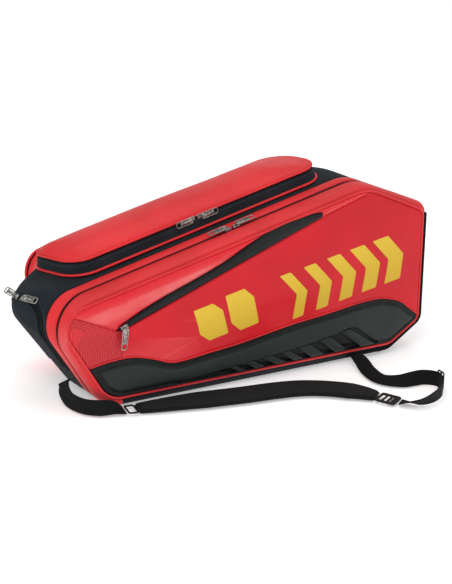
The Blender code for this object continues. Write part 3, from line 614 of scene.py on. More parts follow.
def fillet(corners, arc_steps, run_steps):
    """Points round a closed outline of (a, b, radius) corners, plus where each arc starts."""
    count = len(corners)
    arcs = []
    for i in range(count):
        before, here, after = (np.array(corners[j % count][:2]) for j in (i - 1, i, i + 1))
        radius = corners[i][2]
        back = (before - here) / np.linalg.norm(before - here)
        on = (after - here) / np.linalg.norm(after - here)
        half = math.acos(float(back @ on)) / 2
        reach = radius / math.tan(half)
        middle = back + on
        centre = here + middle / np.linalg.norm(middle) * radius / math.sin(half)
        arcs.append((here + back * reach, here + on * reach, centre))
    points, starts = [], []
    for i, (first, last, centre) in enumerate(arcs):
        starts.append(len(points))
        arm, end = first - centre, last - centre
        turn = math.atan2(arm[0] * end[1] - arm[1] * end[0], float(arm @ end))
        for k in range(arc_steps[i] + 1):
            angle = turn * k / arc_steps[i]
            c, s = math.cos(angle), math.sin(angle)
            points.append(centre + (arm[0] * c - arm[1] * s, arm[0] * s + arm[1] * c))
        following = arcs[(i + 1) % count][0]
        for k in range(1, run_steps[i]):
            points.append(last + (following - last) * k / run_steps[i])
    return np.array(points), starts


def turned(y):
    """0 well in front of the middle plane, and y well behind it."""
    return (y + math.hypot(y, TURN_SPAN)) / 2


def draw_back(y):
    """How far the narrow end lies behind where it is at the front."""
    return SET_BACK * turned(y) * (1 - SET_BACK_EASE * (y / PIPING_Y) ** 2)


def fallen(points, y):
    """Outline points (x, z) moved to where station y has them."""
    x, z = np.asarray(points, float).T
    back = draw_back(y) * (WIDE_END - x) / BODY_LENGTH
    share = np.minimum(1.0, z / (TOP_LINE_Z + TOP_RISE * x))
    drop = TOP_FALL * turned(y) * (1 - TOP_FALL_EASE * (y / PIPING_Y) ** 2)
    drop = drop * ease(x, FALL_START, FALL_END)
    return np.stack([x + back, z + (TOP_RISE * back - drop) * share], 1)


def ring(y):
    """The bag's outline, as (x, z) points, at station y."""
    depth = min(1.0, max(0.0, (PIPING_Y - abs(y)) / (PIPING_Y - BULGE_Y)))
    swell = math.sqrt(1.0 - (1.0 - depth) ** 2)
    crown = max(0.0, 1.0 - (abs(y) / BULGE_Y) ** 2)
    nose = max(0.0, 1.0 - (y / NOSE_Y) ** 2) ** NOSE_POWER
    shares = np.array([crown, nose] + [crown] * 4)[:, None]
    corners = np.array(EDGE_OUTLINE) * (1 - swell) + np.array(BULGE_OUTLINE) * swell
    corners = corners * (1 - shares) + np.array(CROWN_OUTLINE) * shares
    return fallen(fillet([tuple(c) for c in corners], ARC_STEPS, RUN_STEPS)[0], y)


ARC_START = fillet(EDGE_OUTLINE, ARC_STEPS, RUN_STEPS)[1]
ARC_END = [start + steps for start, steps in zip(ARC_START, ARC_STEPS)]
TRAY_LEFT = ARC_START[0]
TRAY_RIGHT = ARC_END[5]
SHOULDER = ARC_END[3]


def section(points, first, last, gap=GAP):
    """The part of a closed outline between two places, trimmed a little at both ends."""
    if last <= first:
        last += len(points)
    part = points[np.arange(first, last + 1) % len(points)].copy()
    part[0] += (part[1] - part[0]) / np.linalg.norm(part[1] - part[0]) * gap
    part[-1] += (part[-2] - part[-1]) / np.linalg.norm(part[-2] - part[-1]) * gap
    return part


def normals(points, closed=False):
    """Unit vectors that point out of an outline."""
    if closed:
        along = np.roll(points, -1, 0) - np.roll(points, 1, 0)
    else:
        along = np.gradient(points, axis=0)
    along /= np.linalg.norm(along, axis=1)[:, None]
    return np.stack([-along[:, 1], along[:, 0]], 1)


def lengths(points):
    """Distance walked along a line at each of its points."""
    steps = np.linalg.norm(np.diff(points, axis=0), axis=1)
    return np.concatenate([[0.0], np.cumsum(steps)])


def spread(points, step, closed=False):
    """The same line with points an even step apart."""
    line = np.array(points, float)
    if closed:
        line = np.vstack([line, line[:1]])
    walked = lengths(line)
    count = max(2, int(round(walked[-1] / step)) + 1)
    at = np.linspace(0.0, walked[-1], count)
    even = np.stack([np.interp(at, walked, line[:, k]) for k in range(line.shape[1])], 1)
    return even[:-1] if closed else even


def smooth_route(points, steps):
    """A smooth curve through a few points of any width, with steps to each span."""
    rows = [np.array(p, float) for p in points]
    rows = [2 * rows[0] - rows[1]] + rows + [2 * rows[-1] - rows[-2]]
    line = []
    for a, b, c, d in zip(rows, rows[1:], rows[2:], rows[3:]):
        for k in range(steps):
            t = k / steps
            line.append(0.5 * (2 * b + (c - a) * t + (2 * a - 5 * b + 4 * c - d) * t * t
                               + (3 * b - a - 3 * c + d) * t ** 3))
    line.append(rows[-2])
    return np.array(line)


def curved(points, step=0.003):
    """A smooth line through a few points, evenly spaced."""
    return spread(smooth_route(points, 12), step)


# ---------------------------------------------------------------- meshes
def make(name, verts, faces, cloth=None):
    """A smooth-shaded mesh object, with its cloth map in metres where one is given."""
    mesh = bpy.data.meshes.new(name)
    mesh.from_pydata([tuple(map(float, v)) for v in verts], [], faces)
    mesh.validate()
    if cloth is not None:
        layer = mesh.uv_layers.new(name="Cloth")
        corners = np.zeros(len(mesh.loops), np.int32)
        mesh.loops.foreach_get("vertex_index", corners)
        layer.data.foreach_set("uv", np.array(cloth, np.float32)[corners].ravel())
    mesh.shade_smooth()
    obj = bpy.data.objects.new(name, mesh)
    bpy.context.scene.collection.objects.link(obj)
    return obj


def outward(obj):
    """Turns every face of a closed mesh outwards."""
    bm = bmesh.new()
    bm.from_mesh(obj.data)
    bmesh.ops.recalc_face_normals(bm, faces=bm.faces)
    bm.to_mesh(obj.data)
    bm.free()
    return obj


def settle(obj, body, finish_name, stands_for=()):
    """Gives a piece its material, its body and the CAD parts that it stands for."""
    obj.data.materials.clear()
    obj.data.materials.append(finish(finish_name))
    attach(obj, body)
    if stands_for:
        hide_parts(*stands_for)
    return obj


def fixed(obj):
    """Applies an object's modifiers to its mesh."""
    graph = bpy.context.evaluated_depsgraph_get()
    mesh = bpy.data.meshes.new_from_object(obj.evaluated_get(graph))
    obj.modifiers.clear()
    obj.data = mesh
    return obj


def thicken(obj, thickness):
    """Gives a sheet its thickness, on the inner side."""
    mod = obj.modifiers.new("thickness", 'SOLIDIFY')
    mod.thickness = thickness
    mod.offset = -1.0
    mod.use_even_offset = False
    return obj


def net(rows, cols, closed=False):
    """Quads of a grid of points, whose columns may close on themselves."""
    wide = cols if closed else cols - 1
    return [(r * cols + c, r * cols + (c + 1) % cols, (r + 1) * cols + (c + 1) % cols,
             (r + 1) * cols + c) for r in range(rows - 1) for c in range(wide)]


def give(point, share, scale=11.0):
    """The small uneven give of foam-backed cloth at a place."""
    return noise.noise(Vector(point) * scale) * share


def skin(name, stations, first, last, thickness, ripple):
    """A strip of cloth round the bag's outline, through (y, lift) stations."""
    rows, outs = [], []
    for y, lift in stations:
        points = section(ring(y), first, last)
        rows.append(points)
        outs.append(normals(points))
    verts, cloth = [], []
    walked = lengths(rows[len(rows) // 2])
    across = 0.0
    low, high = stations[0][0], stations[-1][0]
    for r, (y, lift) in enumerate(stations):
        if r:
            across += math.hypot(y - stations[r - 1][0], float(np.linalg.norm(
                rows[r][0] - rows[r - 1][0])))
        inner = min(1.0, min(y - low, high - y) / 0.008)
        for i, (p, n) in enumerate(zip(rows[r], outs[r])):
            rise = lift + give((p[0], y * 1.6, p[1]), ripple) * inner
            verts.append((p[0] + n[0] * rise, y, p[1] + n[1] * rise))
            cloth.append((walked[i], across))
    return thicken(make(name, verts, net(len(rows), len(rows[0])), cloth), thickness)


def rolled(inner, low, high, depth, reach, puff):
    """Stations of a strip whose two edges roll under, with a puffed middle."""
    middle = (low + high) / 2
    half = (high - low) / 2
    edge = [(0.0, 1.0), (0.12, 0.45), (0.45, 0.1)]
    stations = [(low + reach * a, -depth * b) for a, b in edge]
    stations += [(y, puff * (1 - ((y - middle) / half) ** 2)) for y in inner]
    return stations + [(high - reach * a, -depth * b) for a, b in edge[::-1]]


def mirrored(stations, side):
    """Stations for one side of the middle plane, in order of y."""
    return sorted((side * y, lift) for y, lift in stations)


def tube(name, points, radius, closed=False, sides=10, flat=1.0, up=None):
    """A round or flattened cord through 3D points; up steers a flattened one."""
    line = [Vector(p) for p in points]
    count = len(line)
    verts, cloth, faces = [], [], []
    walked = 0.0
    side_dir = None
    for i, p in enumerate(line):
        if closed:
            along = (line[(i + 1) % count] - line[i - 1]).normalized()
        else:
            along = (line[min(i + 1, count - 1)] - line[max(i - 1, 0)]).normalized()
        if up is not None:
            side_dir = along.cross(Vector(up[i] if hasattr(up[0], "__len__") else up))
        elif side_dir is None:
            side_dir = along.orthogonal()
        side_dir = (side_dir - along * side_dir.dot(along)).normalized()
        top = side_dir.cross(along)
        walked += (p - line[i - 1]).length if i else 0.0
        for k in range(sides):
            angle = 2 * math.pi * k / sides
            verts.append(p + side_dir * math.cos(angle) * radius
                         + top * math.sin(angle) * radius * flat)
            cloth.append((walked, radius * 2 * math.pi * k / sides))
    for i in range(count if closed else count - 1):
        a, b = i * sides, ((i + 1) % count) * sides
        for k in range(sides):
            faces.append((a + k, b + k, b + (k + 1) % sides, a + (k + 1) % sides))
    if not closed:
        faces.append(tuple(range(sides)))
        faces.append(tuple(range(count * sides - 1, (count - 1) * sides - 1, -1)))
    return outward(make(name, verts, faces, cloth))


def joined(name, objs):
    """One object from several, in world places."""
    bm = bmesh.new()
    for obj in objs:
        mesh = obj.data.copy()
        mesh.transform(obj.matrix_world)
        bm.from_mesh(mesh)
        bpy.data.meshes.remove(mesh)
    mesh = bpy.data.meshes.new(name)
    bm.to_mesh(mesh)
    bm.free()
    mesh.shade_smooth()
    for obj in objs:
        bpy.data.objects.remove(obj)
    result = bpy.data.objects.new(name, mesh)
    bpy.context.scene.collection.objects.link(result)
    return result


def frames_along(line, ups, pitch):
    """At each pitch along a line: the point, the way along, the way up and the way across."""
    points = np.array([list(p) for p in line], float)
    ups = np.array([list(u) for u in ups], float)
    walked = lengths(points)

    def read(at, rows):
        return Vector([np.interp(at, walked, rows[:, k]) for k in range(3)])

    for at in np.arange(pitch, walked[-1] - pitch, pitch):
        centre = read(at, points)
        along = (read(at + 0.001, points) - centre).normalized()
        up = read(at, ups).normalized()
        yield centre, along, up, along.cross(up).normalized()


def stitches(name, line, ups):
    """A row of sewn stitches along a line of 3D points, each lying in the cloth."""
    length, radius = STITCH
    verts, faces = [], []
    for centre, along, up, across in frames_along(line, ups, sizes().stitch_pitch):
        base = len(verts)
        for t, swell in ((-0.5, 0.35), (-0.3, 1.0), (0.3, 1.0), (0.5, 0.35)):
            middle = centre + along * length * t
            dip = up * radius * (0.35 if abs(t) < 0.4 else -0.5)
            for a, b in ((-1, 0), (0, 1), (1, 0), (0, -1)):
                verts.append(middle + dip + across * radius * swell * a
                             + up * radius * 0.8 * swell * b)
        for r in range(3):
            for k in range(4):
                a, b = base + r * 4, base + r * 4 + 4
                faces.append((a + k, a + (k + 1) % 4, b + (k + 1) % 4, b + k))
        faces.append((base + 3, base + 2, base + 1, base))
        faces.append((base + 12, base + 13, base + 14, base + 15))
    return make(name, verts, faces)


# ---------------------------------------------------------------- patches of cloth or moulding
def inside(points, outline):
    """Which points lie inside a closed outline."""
    a, b = outline, np.roll(outline, -1, 0)
    hit = np.zeros(len(points), bool)
    for (x1, y1), (x2, y2) in zip(a, b):
        if y1 == y2:
            continue
        crosses = (y1 > points[:, 1]) != (y2 > points[:, 1])
        hit ^= crosses & (points[:, 0] < (x2 - x1) * (points[:, 1] - y1) / (y2 - y1) + x1)
    return hit


def nearness(points, line, closed=True):
    """Distance from each point to a line."""
    points = np.atleast_2d(points)
    line = np.array(line, float)
    a = line if closed else line[:-1]
    b = np.roll(line, -1, 0) if closed else line[1:]
    best = np.full(len(points), 1e9)
    for p, q in zip(a, b):
        d = q - p
        t = np.clip(((points - p) @ d) / max(float(d @ d), 1e-12), 0, 1)
        best = np.minimum(best, np.linalg.norm(points - p - t[:, None] * d, axis=1))
    return best


def round_over(distance, reach):
    """Quarter-round rise from 0 at an edge to 1 at reach."""
    t = np.clip(distance / reach, 0, 1)
    return np.sqrt(1 - (1 - t) ** 2)


def patch(name, outline, step, height, to_world, flip=False, loops=(), edge_rows=True):
    """A flat-cut piece of cloth or moulding, raised by height over its outline."""
    border = spread(outline, step * 0.8, closed=True)
    area = np.sum(border[:, 0] * np.roll(border[:, 1], -1)
                  - np.roll(border[:, 0], -1) * border[:, 1])
    if area < 0:
        border = border[::-1]
    low, high = border.min(0), border.max(0)
    xs = np.arange(low[0], high[0], step)
    zs = np.arange(low[1], high[1], step * 0.866)
    lattice = np.array([(x + (step / 2 if j % 2 else 0), z)
                        for j, z in enumerate(zs) for x in xs])
    lattice = lattice[inside(lattice, border)]
    lattice = lattice[nearness(lattice, border) > (0.0072 if edge_rows else step * 0.5)]
    extra = []
    if edge_rows:
        outs = normals(border, True)
        for d in (0.0005, 0.0014, 0.0028, 0.0048):
            moved = border + outs * d
            keep = inside(moved, border) & (nearness(moved, border) > d * 0.9)
            extra.append(moved[keep][::1 if d > 0.001 else 2])
    points = np.vstack([border, lattice, *extra])
    count = len(border)
    edges = [(i, (i + 1) % count) for i in range(count)]
    for loop in loops:
        base = len(points)
        points = np.vstack([points, loop])
        edges += [(base + i, base + (i + 1) % len(loop)) for i in range(len(loop))]
    made = delaunay_2d_cdt([Vector(p) for p in points], edges, [list(range(count))], 1, 1e-7)
    flat = np.array([tuple(p) for p in made[0]])
    lift = height(flat)
    verts = [to_world(p, h) for p, h in zip(flat, lift)]
    faces = [tuple(f) if not flip else tuple(f[::-1]) for f in made[2]]
    return make(name, verts, faces, flat)


def side_place(side):
    """Puts (x, z) and a distance from the middle plane on one of the two big sides."""
    def place(p, h):
        x, z = fallen([(p[0], p[1])], side * PIPING_Y)[0]
        return (x, side * h, z)
    return place


def stretch_between(outline, first, last):
    """The part of a closed outline from the point nearest first on to the one nearest last."""
    start = int(np.argmin(np.linalg.norm(outline - np.array(first), axis=1)))
    end = int(np.argmin(np.linalg.norm(outline - np.array(last), axis=1)))
    if end <= start:
        end += len(outline)
    return outline[np.arange(start, end + 1) % len(outline)]


def inset(points, distance):
    """A closed outline moved inwards, point by point."""
    return points - normals(points, True) * distance


# ---------------------------------------------------------------- base, gusset and main zips
def teeth(name, line, ups, width=0.0034):
    """The coils of a closed zip: small rounded bars across the line."""
    pitch = sizes().tooth_pitch
    half = pitch * 0.34
    verts, faces = [], []
    for n, (centre, along, up, across) in enumerate(frames_along(line, ups, pitch)):
        shift = across * (TOOTH_SHIFT if n % 2 else -TOOTH_SHIFT)
        base = len(verts)
        for a, swell in ((-1.0, 0.55), (-0.72, 1.0), (0.72, 1.0), (1.0, 0.55)):
            middle = centre + shift + across * a * width / 2
            rise = TOOTH_H * swell
            for b, c in ((-half, 0.0), (-half * 0.6, rise), (half * 0.6, rise), (half, 0.0)):
                verts.append(middle + along * b + up * c)
        for r in range(3):
            for k in range(3):
                a, b = base + r * 4, base + r * 4 + 4
                faces.append((a + k, a + k + 1, b + k + 1, b + k))
        faces.append((base, base + 3, base + 2, base + 1))
        faces.append((base + 12, base + 13, base + 14, base + 15))
    return outward(make(name, verts, faces))


def ring_line(y, first, last, lift, gap=GAP):
    """A line round the bag at station y, as 3D points and the directions out of the cloth."""
    points = section(ring(y), first, last, gap)
    outs = normals(points)
    line = [Vector((p[0] + n[0] * lift, y, p[1] + n[1] * lift)) for p, n in zip(points, outs)]
    return line, [Vector((n[0], 0, n[1])) for n in outs]


def base_tray():
    edge = [(PIPING_Y, -0.0012), (PIPING_Y - 0.0006, -0.0004), (0.1195, 0), (0.115, 0),
            (0.108, 0), (BULGE_Y, 0), (0.092, 0), (ZIP_Y, 0), (0.070, 0), (GUSSET_Y, 0)]
    middle = [(y, 0.0) for y in (0.045, 0.022, 0.0)]
    stations = sorted({(s * y, lift) for y, lift in edge + middle for s in (-1, 1)})
    tray = skin("base_cloth", stations, TRAY_RIGHT, TRAY_LEFT, CLOTH_T, 0.0)
    settle(tray, "carcass", "fabric_black", ["base_tray"])
    rows = []
    for side in (-1, 1):
        for y in (0.1165, 0.060):
            line, ups = ring_line(side * y, TRAY_RIGHT, TRAY_LEFT, 0.0001, 0.004)
            rows.append(stitches("base_row", line, ups))
    settle(joined("base_stitching", rows), "carcass", "thread_black")


def arch_outline(margin):
    """Arched outline (y, z) of the shoe opening, grown by margin."""
    half, radius = ARCH_HALF + margin, ARCH_R + margin
    top, foot = ARCH_TOP + margin, ARCH_FOOT - margin
    points = [(ARCH_MID - half, foot)]
    for way, start in ((-1, math.pi), (1, math.pi / 2)):
        for k in range(17):
            angle = start - math.pi / 2 * k / 16
            points.append((ARCH_MID + way * (half - radius) + radius * math.cos(angle),
                           top - radius + radius * math.sin(angle)))
    points.append((ARCH_MID + half, foot))
    return points


def arch_prism(name, margin):
    """A prism of the arch along X through the narrow end, used only to cut."""
    outline = arch_outline(margin)
    count = len(outline)
    verts = [(x, y, z) for x in (-0.43, -0.23) for y, z in outline]
    faces = [tuple(range(count)), tuple(range(2 * count - 1, count - 1, -1))]
    faces += [(i, (i + 1) % count, count + (i + 1) % count, count + i) for i in range(count)]
    return outward(make(name, verts, faces))


def cut_by(obj, cutter, operation):
    """Cuts a thickened piece with a prism, and takes the prism away."""
    mod = obj.modifiers.new("cut", 'BOOLEAN')
    mod.object = cutter
    mod.operation = operation
    mod.solver = 'EXACT'
    fixed(obj)
    bpy.data.objects.remove(cutter)
    return obj


def gusset():
    """The black middle of the back and top, with the arched opening for shoes."""
    ys = np.linspace(-GUSSET_Y, GUSSET_Y, 21)
    cloth = skin("gusset_cloth", [(y, 0.0) for y in ys], TRAY_LEFT, TRAY_RIGHT, CLOTH_T, 0.0012)
    cut_by(cloth, arch_prism("arch_cutter", 0.0), 'DIFFERENCE')
    settle(cloth, "carcass", "fabric_black", ["centre_gusset"])
    for side, name in SIDES:
        inner = np.linspace(0.0655, 0.0790, 6)
        stations = rolled(inner, GUSSET_Y - 0.0002, 0.0804, 0.0016, 0.0022, 0.0006)
        strip = skin(name + "_inner_strip", mirrored(stations, side), TRAY_LEFT, TRAY_RIGHT,
                     0.0020, 0.0005)
        settle(strip, "carcass", "band_red", [name + "_inner_band"])
        stations = [(0.0790, -0.0028), (0.0816, -0.0020), (0.0844, -0.0020), (0.0868, -0.0028)]
        tape = skin(name + "_zip_tape", mirrored(stations, side), TRAY_LEFT + 6,
                    TRAY_RIGHT - 6, 0.0008, 0.0)
        settle(tape, "carcass", "tape", [name + "_zip_coil"])
        line, ups = ring_line(side * ZIP_Y, TRAY_LEFT + 8, TRAY_RIGHT - 8, -0.0019)
        settle(teeth(name + "_zip_teeth", line, ups), "carcass", "coil")
        line, ups = ring_line(side * 0.0785, TRAY_LEFT, TRAY_RIGHT, 0.0001, 0.006)
        settle(stitches(name + "_inner_stitching", line, ups), "carcass", "thread_red")


# ---------------------------------------------------------------- shells
def shell_bands():
    """The red side bands, black end bands and the piping round each big panel."""
    for side, name in SIDES:
        body = name + "_shell"
        inner = [0.0882, 0.0910, 0.094, 0.098, 0.102, 0.106, 0.110, 0.114, 0.117]
        stations = rolled(inner, 0.0856, 0.1203, 0.0018, 0.0024, 0.0010)
        cloth = skin(name + "_side_band", mirrored(stations, side), TRAY_LEFT, SHOULDER,
                     CLOTH_T, 0.0010)
        settle(cloth, body, "band_red", [name + "_band"])
        cloth = skin(name + "_end_band_cloth", mirrored(stations, side), SHOULDER, TRAY_RIGHT,
                     CLOTH_T, 0.0008)
        settle(cloth, body, "fabric_black", [name + "_end_band"])
        edge = ring(side * PIPING_Y)
        outs = normals(edge, True)
        radius = sizes().piping_radius
        line = [Vector((p[0] + n[0] * 0.0002, side * SEAM_H, p[1] + n[1] * 0.0002))
                for p, n in zip(edge, outs)]
        cord = tube(name + "_piping_cord", line, radius, closed=True, sides=12, up=(0, side, 0))
        settle(cord, body, "piping_red", [name + "_piping"])
        line, outs = ring_line(side * BINDING_Y, SHOULDER - 2, TRAY_RIGHT + 6, 0.0022)
        binding = tube(name + "_end_binding", line, 0.0034, sides=12, flat=0.85, up=list(outs))
        settle(binding, body, "webbing")
        rows = []
        for y, lift in ((0.0886, 0.0008), (0.1180, 0.0)):
            line, ups = ring_line(side * y, TRAY_LEFT, SHOULDER, lift, 0.004)
            rows.append(stitches("band_row", line, ups))
        settle(joined(name + "_band_stitching", rows), body, "thread_red")


def panel_regions():
    """The outlines, as (x, z), of the pieces that each big panel is sewn from."""
    plate = inset(ring(-PIPING_Y), 0.0021)
    line = curved(ARMOUR_LINE)
    line = line[inside(line, plate)]
    bottom = stretch_between(plate, line[-1], line[0])
    armour = np.vstack([bottom, line])
    right = line[line[:, 0] > CORNER_FOOT[0]]
    left = line[line[:, 0] < CORNER_FOOT[0]]
    rise = stretch_between(plate, WEDGE_TIP, line[-1])[::-1]
    inner_foot = curved([(-0.246, 0.132), (-0.2472, 0.126), (-0.2455, 0.110), CORNER_FOOT])
    logo = np.vstack([right, rise, [GUARD_HEAD, GUARD_FOOT], inner_foot, [CORNER_FOOT]])
    belly = curved(GUARD_BELLY, 0.004)
    crown = stretch_between(plate, CORNER_SEAM, WEDGE_TIP)
    wedge = np.vstack([crown, [GUARD_HEAD], belly])
    side_run = stretch_between(plate, line[0], CORNER_SEAM)
    corner = np.vstack([side_run, [GUARD_BELLY[-1]], inner_foot, left[::-1]])
    guard = np.vstack([[GUARD_FOOT, GUARD_HEAD], belly])
    return {"plate": plate, "armour": armour, "logo": logo, "wedge": wedge, "corner": corner,
            "guard": guard, "line": line}


def puffed(outline, edge, reach, crown, wide):
    """A height over an outline: rounded over at its seams, with a padded crown."""
    border = spread(outline, 0.006, closed=True)

    def height(points):
        d = nearness(points, border)
        small = np.array([give((x, 0.3, z), 1.0, 9.0) for x, z in points])
        return (SEAM_H + edge * round_over(d, reach) + crown * ease(d, reach * 0.4, wide)
                + small * 0.0007 * ease(d, 0.004, 0.03))
    return height


def marks():
    """Outlines of the printed graphic: two slanted blocks, then a rising row of chevrons."""
    result = []
    lean = np.array([-0.034, 0.080])
    start, run = np.array([0.086, 0.0985]), np.array([0.232, 0.0405])
    for k in range(5):
        base = start + run * (k * 0.205)
        wide = run * (0.092 + 0.012 * k)
        push = run * 0.088
        low, mid, top = base, base + lean * 0.5 + push, base + lean
        result.append([low, low + wide, mid + wide, top + wide, top, mid])
    for x, z, wide, tall in ((-0.094, 0.0865, 0.050, 0.058), (-0.034, 0.0945, 0.050, 0.066)):
        base = np.array([x, z])
        along = np.array([wide, wide * 0.2])
        up = np.array([-0.020, tall])
        result.append([base + along * 0.28, base + along, base + along + up * 0.72,
                       base + along * 0.72 + up, base + up, base + up * 0.28])
    return [np.array(r) for r in result]


def side_panels():
    """The sewn pieces of both big panels, their lining, print and top-stitching."""
    puff = sizes().panel_puff
    areas = panel_regions()
    heights = {"logo": puffed(areas["logo"], 0.0022, 0.0050, puff, 0.060),
               "wedge": puffed(areas["wedge"], 0.0036, 0.0110, 0.0016, 0.026),
               "corner": puffed(areas["corner"], 0.0022, 0.0055, 0.0012, 0.030)}
    for side, name in SIDES:
        body = name + "_shell"
        place = side_place(side)
        flip = side > 0
        logo = patch(name + "_main_panel", areas["logo"], 0.0045, heights["logo"], place, flip)
        settle(logo, body, "panel_red", [name + "_panel"])
        wedge = patch(name + "_wedge_panel", areas["wedge"], 0.0040, heights["wedge"], place,
                      flip)
        settle(wedge, body, "wedge_red")
        corner = patch(name + "_corner_panel", areas["corner"], 0.0035, heights["corner"],
                       place, flip)
        settle(corner, body, "corner_red")
        lining = patch(name + "_panel_lining", areas["plate"], 0.012,
                       lambda points: np.full(len(points), PANEL_FLOOR + 0.0002), place,
                       not flip, edge_rows=False)
        settle(lining, body, "lining")
        printed = [patch("mark", mark, 0.0040, lambda p: heights["logo"](p) + 0.00022, place,
                         flip, edge_rows=False) for mark in marks()]
        settle(joined(name + "_print", printed), body, "gold")
        rows = []
        belly = curved(GUARD_BELLY, 0.004)
        above = belly + normals(belly) * -0.0032
        if not inside(above[len(above) // 2:len(above) // 2 + 1], areas["wedge"])[0]:
            above = belly + normals(belly) * 0.0032
        seam = curved([CORNER_SEAM, GUARD_BELLY[-1]], 0.004) + np.array([0.001, 0.0032])
        for path in (above, seam):
            path = path[inside(path, areas["wedge"])]
            at = heights["wedge"](path) + 0.0001
            line = [Vector(place(p, h)) for p, h in zip(path, at)]
            rows.append(stitches("seam_row", line, [(0, side, 0)] * len(line)))
        settle(joined(name + "_panel_stitching", rows), body, "thread_red")


def armour():
    """The moulded lower panels, with a raised face inside a bevelled rim and open louvres."""
    areas = panel_regions()
    outline = inset_closed(areas["armour"], 0.0006)
    border = spread(outline, 0.005, closed=True)
    basin = spread(BASIN, 0.003, closed=True)
    inner = inset_closed(basin, 0.0016)

    def height(points):
        d = nearness(points, border)
        face = (ARMOUR_RIM + 0.0030 * round_over(d, 0.0022) - 0.0014 * ease(d, 0.003, 0.0050)
                + 0.0050 * ease(d, 0.0070, 0.0120) + 0.0010 * ease(d, 0.012, 0.030))
        sunk = nearness(points, basin) * np.where(inside(points, basin), 1, -1)
        return face - BASIN_DEPTH * ease(sunk, 0.0, 0.0016)

    for side, name in SIDES:
        body = name + "_shell"
        place = side_place(side)
        flip = side > 0
        plate = patch(name + "_armour_skin", outline, 0.0036, height, place, flip,
                      loops=[basin, inner])
        settle(plate, body, "armour", [name + "_armour"])
        settle(louvres(name + "_armour_louvres", place), body, "armour")
        line = [Vector(place((p[0], p[1] + 0.0004), EDGING_H)) for p in areas["line"]]
        cord = tube(name + "_armour_edging", line, 0.0012, sides=10, up=(0, side, 0))
        settle(cord, body, "piping_red")


def inset_closed(outline, distance):
    """A closed outline moved inwards, whichever way round it runs."""
    even = spread(outline, 0.003, closed=True)
    moved = even + normals(even, True) * distance
    if not inside(moved[:1], even)[0]:
        moved = even - normals(even, True) * distance
    keep = nearness(moved, even) > distance * 0.93
    return moved[keep]


def louvres(name, place):
    """Slanted slats that stand in the armour's basin and grow towards the wide end."""
    profile = [(0.0, 0.0), (0.05, 0.75), (0.16, 1.0), (0.80, 0.72), (0.93, 0.58), (1.0, 0.0)]
    verts, faces = [], []
    steps = 10
    wide = len(profile)
    for top, right, low, low_right in SLATS:
        base = len(verts)
        top_z, low_z = (np.interp(x, BASIN_TOP[:, 0], BASIN_TOP[:, 1]) for x in (top, right))
        for i in range(steps):
            share = i / (steps - 1)
            taper = min(1.0, (i + 0.5) / 1.5, (steps - 0.5 - i) / 1.5)
            first, last = (np.array([a, z - 0.0008]) * (1 - share) + np.array([b, foot]) * share
                           for a, z, b, foot in ((top, top_z, low, 0.0262),
                                                 (right, low_z, low_right, 0.0268)))
            for across, rise in profile:
                p = first + (last - first) * across
                verts.append(place(p, SLAT_FOOT + SLAT_RISE * rise * taper))
        for i in range(steps - 1):
            for k in range(wide - 1):
                a, b = base + i * wide, base + (i + 1) * wide
                faces.append((a + k, a + k + 1, b + k + 1, b + k))
        faces.append(tuple(base + k for k in range(wide - 1, -1, -1)))
        faces.append(tuple(base + (steps - 1) * wide + k for k in range(wide)))
    return outward(make(name, verts, faces))


def pocket_guards():
    """The dark ribbed strips that cover the slanting pocket zips."""
    areas = panel_regions()
    outline = inset_closed(areas["guard"], 0.0004)
    border = spread(outline, 0.005, closed=True)

    def height(points):
        d = nearness(points, border)
        below = nearness(points, [GUARD_FOOT, GUARD_HEAD], closed=False)
        ribs = 0.00050 * np.cos(below * waves(GUARD_RIB_PITCH)) * ease(d, 0.001, 0.004)
        return GUARD_RIM + 0.0036 * round_over(d, 0.0034) + ribs + 0.0006 * ease(d, 0.003, 0.012)

    for side, name in SIDES:
        strip = patch(name + "_guard_strip", outline, 0.0022, height, side_place(side), side > 0)
        settle(strip, name + "_shell", "guard", [name + "_pocket_guard"])


# ---------------------------------------------------------------- top pocket
def top_point(u, v, h):
    """A place over the sloped top. The pocket leans towards the narrow end at its back."""
    lean = POCKET_SKEW * (v + POCKET_HALF) / (2 * POCKET_HALF)
    return TOP_ORIGIN + TOP_U * (u - lean) + Vector((0, v, 0)) + TOP_N * h


def pocket_outline(shrink):
    """Rounded outline (u, v) of the top pocket, tighter at the narrow end."""
    low, high = POCKET_U[0] + shrink, POCKET_U[1] - shrink
    half = POCKET_HALF - shrink
    narrow, wide = 0.034 - shrink, 0.046 - shrink
    corners = [(low, -half, narrow), (low, half, narrow), (high, half, wide), (high, -half, wide)]
    return fillet(corners, [20, 20, 24, 24], [4, 60, 3, 60])[0]


def wall_ring(name, levels, thickness):
    """An upright wall round the pocket from (shrink, height) levels."""
    rings = [pocket_outline(shrink) for shrink, _ in levels]
    count = len(rings[0])
    walked = lengths(rings[0])
    verts, cloth = [], []
    for points, (_, h) in zip(rings, levels):
        for i, p in enumerate(points):
            verts.append(top_point(p[0], p[1], h))
            cloth.append((walked[i], h))
    faces = [f[::-1] for f in net(len(levels), count, closed=True)]
    return thicken(make(name, verts, faces, cloth), thickness)


def pocket_ring_line(shrink, h):
    points = pocket_outline(shrink)
    outs = normals(points, True)
    line = [top_point(p[0], p[1], h) for p in points]
    return line, [(TOP_U * n[0] + Vector((0, n[1], 0))).normalized() for n in outs]


